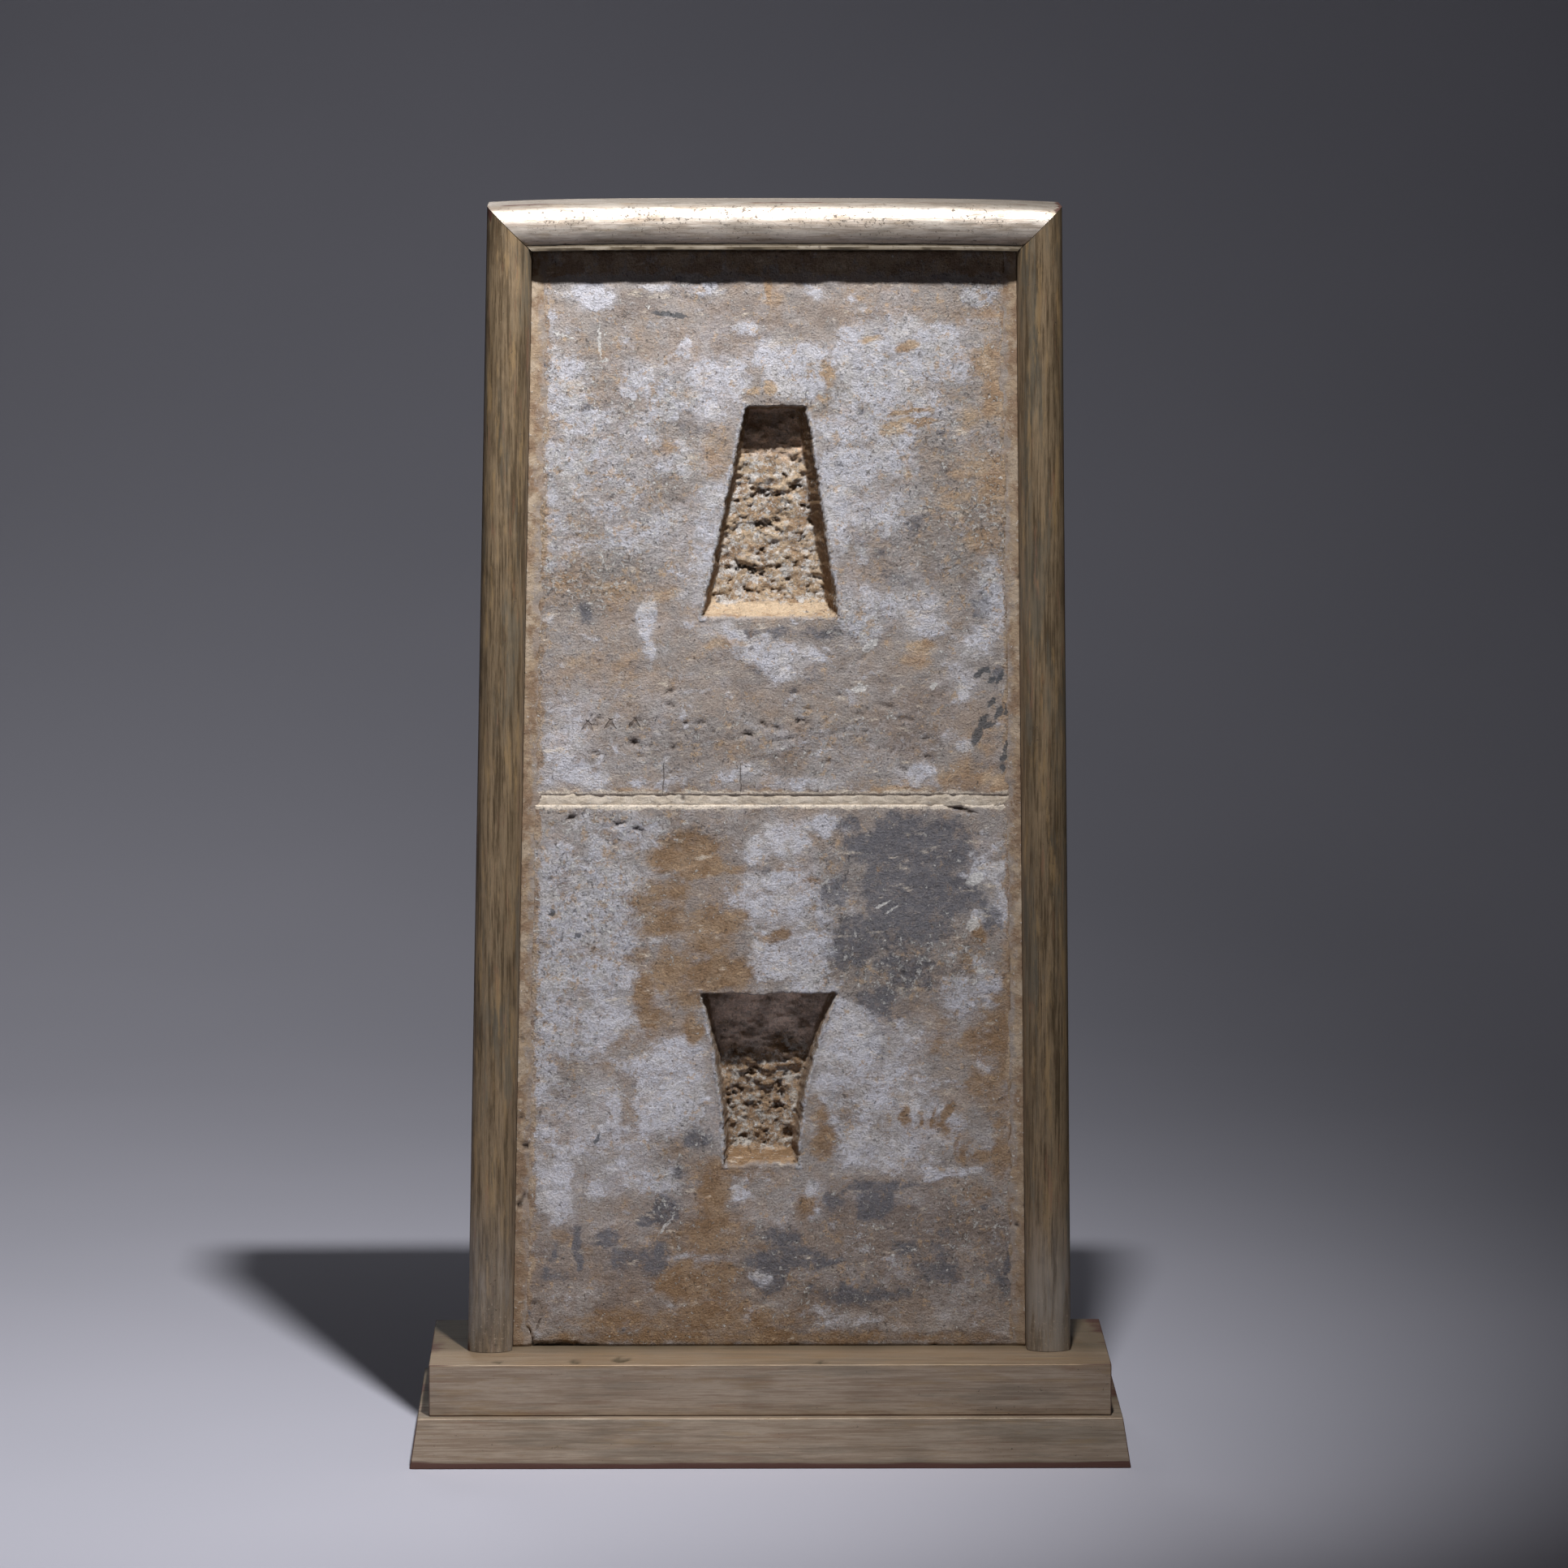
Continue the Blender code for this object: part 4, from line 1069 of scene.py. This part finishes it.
def build_side_joint(name, node, side, material):
    """The mortar between a stile and the bricks, smeared a little over their faces."""
    low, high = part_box(node)
    share = np.linspace(0, 1, SKIN_COLUMNS)[None, :]
    z = np.linspace(low.z, high.z, round((high.z - low.z) / SKIN_STEP))[:, None] + 0 * share
    line = z[:, :1]
    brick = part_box("brick_lower")
    space = abs(brick[side].x - (low, high)[side].x)
    skins = []
    pits = []
    for face, sign, seed in ((brick[0].y, -1, 31), (brick[1].y, 1, 71)):
        seed += 100 * side
        reach = space + SIDE_LAPS[side] + 0.0022 * rough(line, 0 * line, 0.014, seed, 5)
        x = brick_edge(side, z) + (1, -1)[side] * (reach * share - space)
        crumbs = 0.0005 * rough(x, z, 0.006, seed, 3)
        pit = 0.006 * np.clip(rough(x, z, 0.012, seed + 7, 2) - 0.75, 0.0, 0.4)
        height = 0.0016 * (1 - share) ** 2 + 0.0003 - 0.0012 * share ** 3 + crumbs - pit
        skins.append(placed(x, face + sign * height, z))
        pits.append(pit)
    piece = mortar_bar(name, node, material, skins, pits, (0.0003, 0.0025), share)
    near_base = smooth_step(z, 0.240, 0.110)
    set_attribute(piece, "low", np.concatenate([near_base, near_base], axis=1))
    return piece


# Frame

BEAD_BULGE = 0.012
FILLET_WIDTH = 0.0030
FILLET_SET_BACK = 0.0056
GROOVE = 0.0006
RAIL_BOW = 0.0028
BEAD_POINTS = 36
SIDE_POINTS = 13
STATION_STEP = 0.0030
SHARP_MOULDING = 38
WOOD_WAVES = 0.00045
WOOD_DENTS = 0.00022
LIP_WAVES = 0.0007


def moulding_profile(width, depth, fillet):
    """Half-round on both faces, with or without an inner fillet: distance from the outer
    face, and depth."""
    bead = width - fillet
    shoulder = depth / 2 - FILLET_SET_BACK
    angle = np.linspace(0, math.pi, BEAD_POINTS)
    across = list(bead / 2 * (1 - np.cos(angle)))
    out = depth / 2 - BEAD_BULGE * (1 - np.sin(angle))
    if fillet:
        out = np.where(angle > math.pi / 2, np.maximum(out, shoulder - GROOVE), out)
        across += [bead + 0.0007, width - 0.0006, width]
        out = list(out) + [shoulder, shoulder, shoulder - 0.0006]
    inner = [(width, -y) for y in np.linspace(out[-1], -out[-1], SIDE_POINTS)[1:-1]]
    outer = [(0.0, -y) for y in np.linspace(-out[0], out[0], SIDE_POINTS)[1:-1]]
    front = [(a, -y) for a, y in zip(across, out)]
    back = [(a, y) for a, y in zip(across, out)]
    return np.array(front + inner + back[::-1] + outer)


def finish_moulding(name, node, points_rows, share_across, material, seed, dirt_and_shade):
    """A moulding with its wear, its grime and its painted shade: how far a darker band reaches in
    from the outer edge, how much painted shade, with some grime, lies on the half near the
    fillet, and how dark the fillet is."""
    edge_reach, low_shade, fillet = dirt_and_shade
    points, faces = swept(points_rows)
    piece = new_piece(name, points, faces, material, node, SHARP_MOULDING)
    along = points_rows[..., 0] + points_rows[..., 2]
    patch = rough(along, 0.5 * share_across + points_rows[..., 1], 0.06, seed, 3)
    flat = smooth_step(share_across, 0.845, 0.865) * (fillet > 0)
    face_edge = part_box(node)[1].y - BEAD_BULGE
    arris = smooth_step(np.abs(points_rows[..., 1]), 0.80 * face_edge, face_edge)
    edge = arris * smooth_step(share_across, 0.05, 0.0)
    ends = smooth_step(np.abs(np.linspace(-1, 1, len(points_rows))), 0.965, 1.0)[:, None]
    corner = 1.4 * ends * smooth_step(share_across, 0.25, 0.05)
    worn = np.maximum(edge, corner) * (0.55 + 0.6 * patch)
    set_attribute(piece, "worn", np.clip(worn, 0.0, 1.0))
    shade = 0.45 * smooth_step(share_across, edge_reach, 0.5 * edge_reach)
    # Painted shade, with some grime, on the half of the bead towards the inner edge; on the rail this
    # half faces down
    shade = shade + low_shade * smooth_step(share_across, 0.50, 0.84)
    shade = (shade + 0.15 * patch) * (1 - flat) + fillet * flat
    set_attribute(piece, "shade", np.clip(shade, 0.0, 1.0))
    dusty_foot = smooth_step(points_rows[..., 2], 0.200, 0.085)
    set_attribute(piece, "dust", dusty_foot)
    set_attribute(piece, "bare", np.clip(0.36 * dusty_foot, 0.0, 1.0))
    return piece


def wobble(points, along, across, seed):
    """Old wood isn't quite straight: small waves along it and small dents in it."""
    wave = WOOD_WAVES * rough(along, across, 0.11, seed, 3)
    dent = WOOD_DENTS * rough(along, across, 0.012, seed + 5, 3)
    moved = points.copy()
    moved[..., 1] += wave + dent
    return moved


def build_stile(name, node, side, material):
    low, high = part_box(node)
    rail_low, rail_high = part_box("frame_top_rail")
    width = rail_high.z - rail_low.z
    profile = moulding_profile(width, high.y - low.y, 0.0)
    share = profile[None, :, 0] / width
    stations = round((high.z - low.z) / STATION_STEP)
    up = np.linspace(0, 1, stations)[:, None]
    top = high.z - width * share
    z = low.z + (top - low.z) * up
    x = stile_edge(side, z) + (1, -1)[side] * profile[None, :, 0]
    points = wobble(placed(x, profile[None, :, 1], z), z, x, 400 + side)
    return finish_moulding(name, node, points, share, material, 420 + side, (0.04, 0.10, 0.0))


def build_rail(name, node, material):
    low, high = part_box(node)
    width = high.z - low.z
    profile = moulding_profile(width, high.y - low.y, FILLET_WIDTH)
    share = profile[None, :, 0] / width
    stations = round((high.x - low.x) / STATION_STEP)
    along = np.linspace(0, 1, stations)[:, None]
    bow = RAIL_BOW * (1 - (2 * along - 1) ** 4) * (1 - 0.6 * share)
    z = high.z - profile[None, :, 0] + bow
    left = stile_edge(LEFT, high.z) + width * share
    right = stile_edge(RIGHT, high.z) - width * share
    x = left + (right - left) * along
    points = wobble(placed(x, profile[None, :, 1], z), x, z, 440)
    lip = smooth_step(share, 0.90, 1.0)
    points[..., 1] += LIP_WAVES * lip * np.sign(points[..., 1]) * rough(x, 0 * x, 0.022, 448, 4)
    return finish_moulding(name, node, points, share, material, 460, (0.13, 0.30, 1.0))


# Base

STEP_EDGE_RADIUS = 0.0011
STEP_SPACING = (0.0032, 0.0055, 0.0026)
SHARP_STEP = 50
UPPER_STEP_NICKS = marks(
    Nick,
    (-0.105, -0.066, 0.0070, 0.010, 0.0, 0.0016), (-0.136, -0.074, 0.0050, 0.007, 0.2, 0.0012),
    (-0.190, -0.075, 0.0030, 0.006, 0.0, 0.0010), (0.035, -0.078, 0.0040, 0.006, 0.1, 0.0010),
)


def edge_graded(low, high, step, radius):
    """Places from low to high with close ones near both ends for the worn edges."""
    inner = np.linspace(low + radius, high - radius, max(2, round((high - low) / step)))
    near = np.array([0.0, 0.3, 0.65]) * radius
    return np.concatenate([low + near, inner, (high - near)[::-1]])


def block_shell(places):
    """Points and faces of a box's shell from the places along its three sides."""
    mesh = bmesh.new()
    for axis in range(3):
        first, second = places[(axis + 1) % 3], places[(axis + 2) % 3]
        for level in (places[axis][0], places[axis][-1]):
            corners = []
            for a in first:
                line = []
                for b in second:
                    point = [0.0, 0.0, 0.0]
                    point[axis], point[(axis + 1) % 3], point[(axis + 2) % 3] = level, a, b
                    line.append(mesh.verts.new(point))
                corners.append(line)
            for i in range(len(first) - 1):
                for j in range(len(second) - 1):
                    mesh.faces.new((
                        corners[i][j], corners[i + 1][j], corners[i + 1][j + 1],
                        corners[i][j + 1]))
    bmesh.ops.remove_doubles(mesh, verts=mesh.verts, dist=1e-6)
    mesh.verts.index_update()
    points = np.array([vert.co for vert in mesh.verts])
    faces = [[vert.index for vert in face.verts] for face in mesh.faces]
    mesh.free()
    return points, faces


def build_step(name, node, material, flare, nicks, pale_edge, foot_strip, seed):
    """One step of the base, its edges rounded by wear, spreading by flare at its foot.

    pale_edge is how much paler its top edges are, and foot_strip how far the strip at its foot is worn.
    """
    low, high = (np.array(corner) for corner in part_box(node))
    low[:2] += flare
    high[:2] -= flare
    places = [edge_graded(low[axis], high[axis], STEP_SPACING[axis], STEP_EDGE_RADIUS)
              for axis in range(3)]
    points, faces = block_shell(places)
    x, y, z = points.T
    radius = STEP_EDGE_RADIUS * (0.75 + 0.25 * rough(x + y, z + y, 0.05, seed, 3))
    radius = np.clip(radius, 0.0003, STEP_EDGE_RADIUS)[:, None]
    core = np.clip(points, low + radius, high - radius)
    gap = points - core
    length = np.linalg.norm(gap, axis=1, keepdims=True)
    points = core + gap * radius / np.maximum(length, 1e-9)
    worn = smooth_step(length[:, 0] / radius[:, 0], 0.95, 1.25)
    share_down = (high[2] - z) / (high[2] - low[2])
    for axis, along in ((0, x), (1, y)):
        reach = smooth_step(np.abs(along), 0.9 * high[axis], high[axis])
        points[:, axis] += np.sign(along) * flare * share_down * reach
    inward = 0.0003 + 0.00025 * rough(x, y + z, 0.05, seed + 3, 3)
    points[:, 1] -= np.sign(y) * np.clip(inward, 0, 1) * (np.abs(y) > high[1] - 0.0008)
    pits = np.zeros(len(points))
    for nick in nicks:
        pits += nick_depth(x, y, nick) * (z > high[2] - 0.003)
    points[:, 2] -= pits
    piece = new_piece(name, points, faces, material, node, SHARP_STEP)
    patch = rough(x, y + z, 0.04, seed + 9, 3)
    top = smooth_step(share_down, 0.10, 0.0)
    ends = smooth_step(np.abs(x), 0.86 * high[0], high[0])
    strip = foot_strip * smooth_step(share_down, 0.85, 0.92)
    rubbed = worn * (1.20 + 0.4 * patch) * (1 - pale_edge * top) + strip
    rubbed = rubbed + ends * (0.25 + 0.40 * top) * (0.8 + 0.6 * patch)
    set_attribute(piece, "worn", np.clip(rubbed, 0.0, 1.0))
    # Painted warm light on the upper step's top faces
    set_attribute(piece, "painted_top_warmth", top * (1 - foot_strip) * (0.8 + 0.4 * patch))
    # Paler along the top edges
    pale = pale_edge * worn * top * (0.50 + 0.3 * patch)
    set_attribute(piece, "bare", np.clip(pale + 0.30 * strip * (patch > 0.25), 0.0, 1.0))
    # Painted shade at the back of the top where it meets the brick, in the nicks and towards the right
    # of the lower step; the foot strip and the mottling are dirt
    dirt_and_shade = 0.8 * smooth_step(y, -0.044, -0.022) * (z > high[2] - 0.002)
    dirt_and_shade = dirt_and_shade + strip + 0.2 * rough(x, z, 0.05, seed, 3) + smooth_step(pits, 0.0, 0.0005)
    dirt_and_shade = dirt_and_shade + 0.12 * foot_strip * smooth_step(x, 0.0, 0.15)
    set_attribute(piece, "shade", np.clip(dirt_and_shade, 0.0, 1.0))
    return piece


# Stage, light and camera

def build_stage():
    """A paper sweep: floor, a bend behind the panel, and a wall."""
    angles = np.linspace(0, math.pi / 2, STAGE_BEND_POINTS)
    bend_y = STAGE_BEND_START + STAGE_BEND_RADIUS * np.sin(angles)
    bend_z = STAGE_BEND_RADIUS * (1 - np.cos(angles))
    y = np.concatenate([[STAGE_FRONT], bend_y, [bend_y[-1]]])
    z = np.concatenate([[0.0], bend_z, [STAGE_HEIGHT]])
    x = np.linspace(-STAGE_HALF_WIDTH, STAGE_HALF_WIDTH, STAGE_COLUMNS)
    points = placed(x[:, None], y[None, :], z[None, :])
    index = np.arange(x.size * y.size).reshape(x.size, y.size)
    mesh = bpy.data.meshes.new("stage")
    mesh.from_pydata(points.reshape(-1, 3).tolist(), [], grid_faces(index))
    mesh.shade_smooth()
    mesh.materials.append(stage_material())
    stage = bpy.data.objects.new("stage", mesh)
    bpy.context.scene.collection.objects.link(stage)


def new_light(name, lamp):
    light = bpy.data.lights.new(name, lamp.kind)
    light.energy = lamp.power
    light.shadow_soft_size = lamp.radius
    holder = bpy.data.objects.new(name, light)
    place, aim = np.array(lamp.place), np.array(lamp.aim)
    holder.matrix_world = looking(place, (aim - place) / np.linalg.norm(aim - place), 0.0)
    holder.visible_camera = False
    bpy.context.scene.collection.objects.link(holder)
    return light


def build_lights():
    """One near key light, a glow on the backdrop, and two faint fills."""
    key = new_light("key", KEY)
    key.spot_size = 2 * KEY_HALF_ANGLE
    key.spot_blend = 1.0
    new_light("glow", GLOW)
    new_light("front", FRONT).color = FRONT_COLOUR
    world = bpy.data.worlds.new("studio")
    world.use_nodes = True
    background = world.node_tree.nodes["Background"]
    background.inputs["Color"].default_value = (*FILL_COLOUR, 1.0)
    background.inputs["Strength"].default_value = FILL_STRENGTH
    bpy.context.scene.world = world


def looking(place, forward, roll):
    """A matrix that looks along forward, with its right side level before the roll."""
    right = np.cross(forward, (0.0, 0.0, 1.0))
    right /= np.linalg.norm(right)
    up = np.cross(right, forward)
    turned_right = math.cos(roll) * right + math.sin(roll) * up
    turned_up = math.cos(roll) * up - math.sin(roll) * right
    matrix = Matrix.Identity(4)
    for column, axis in enumerate((turned_right, turned_up, -forward, place)):
        for row in range(3):
            matrix[row][column] = axis[row]
    return matrix


def build_camera():
    camera = bpy.data.cameras.new("camera")
    camera.sensor_width = SENSOR
    camera.lens = SENSOR * FOCAL_LENGTH_PIXELS / PHOTO_WIDTH
    camera.clip_end = CAMERA_REACH
    holder = bpy.data.objects.new("camera", camera)
    level = math.cos(CAMERA_PITCH)
    forward = np.array([
        math.sin(CAMERA_YAW) * level, math.cos(CAMERA_YAW) * level, math.sin(CAMERA_PITCH)])
    holder.matrix_world = looking(np.array(CAMERA_PLACE), forward, CAMERA_ROLL)
    bpy.context.scene.collection.objects.link(holder)
    bpy.context.scene.camera = holder
    bpy.context.scene.view_settings.view_transform = "Standard"


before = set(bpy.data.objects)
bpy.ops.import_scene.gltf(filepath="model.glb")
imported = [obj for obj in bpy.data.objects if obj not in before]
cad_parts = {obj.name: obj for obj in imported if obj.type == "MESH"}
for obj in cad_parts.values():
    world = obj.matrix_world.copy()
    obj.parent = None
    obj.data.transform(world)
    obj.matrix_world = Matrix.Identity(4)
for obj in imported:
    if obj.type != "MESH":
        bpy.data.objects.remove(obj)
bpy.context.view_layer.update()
build_camera()
build_lights()
build_stage()

upper_clay = brick_material(
    "worn_brick_upper", UPPER_INK, UPPER_SCRATCHES, UPPER_CUTS + caret_strokes(), UPPER_PALETTE)
lower_clay = brick_material(
    "worn_brick_lower", LOWER_INK, LOWER_SCRATCHES, LOWER_CUTS, LOWER_PALETTE)
build_brick(
    "upper_brick", "brick_upper", UPPER_SOCKET, UPPER_STAINS,
    UPPER_NICKS + scattered_nicks(), upper_clay, 1000)
build_brick(
    "lower_brick", "brick_lower", LOWER_SOCKET, LOWER_STAINS, LOWER_NICKS, lower_clay, 2000)

cream_mortar = mortar_material("cream_mortar", CREAM, CREAM_MIDDLE, 0.5)
sandy_mortar = mortar_material("sandy_mortar", SANDY, SANDY_DARK, 0.7)
build_bed_joint("bed_joint", "mortar_joint", cream_mortar)
build_side_joint("side_joint_left", "mortar_left", LEFT, sandy_mortar)
build_side_joint("side_joint_right", "mortar_right", RIGHT, sandy_mortar)

upright_silver = silvered_material(
    "silvered_uprights", stretch=(1, 1, 44), silver=(0.380, 0.272, 0.165),
    dull=(0.122, 0.083, 0.046), metallic=0.45, grime=0.8, spotting=0.010, patchy=0.28)
level_silver = silvered_material(
    "silvered_rail", stretch=(22, 1, 1), silver=(0.82, 0.74, 0.665),
    dull=(0.57, 0.475, 0.395), metallic=0.76, grime=0.40, spotting=0.070, patchy=0.30)
base_silver = silvered_material(
    "silvered_base", stretch=(50, 1, 1), silver=(0.52, 0.42, 0.325),
    dull=(0.345, 0.258, 0.185), metallic=0.45, grime=0.45, spotting=0.004, patchy=0.25)
build_stile("left_stile", "frame_left_stile", LEFT, upright_silver)
build_stile("right_stile", "frame_right_stile", RIGHT, upright_silver)
build_rail("top_rail", "frame_top_rail", level_silver)
build_step(
    "upper_step", "base_upper_step", base_silver, flare=0.0, nicks=UPPER_STEP_NICKS,
    pale_edge=0.6, foot_strip=0.0, seed=500)
build_step(
    "lower_step", "base_lower_step", base_silver, flare=0.0055, nicks=(),
    pale_edge=0.9, foot_strip=1.0, seed=540)
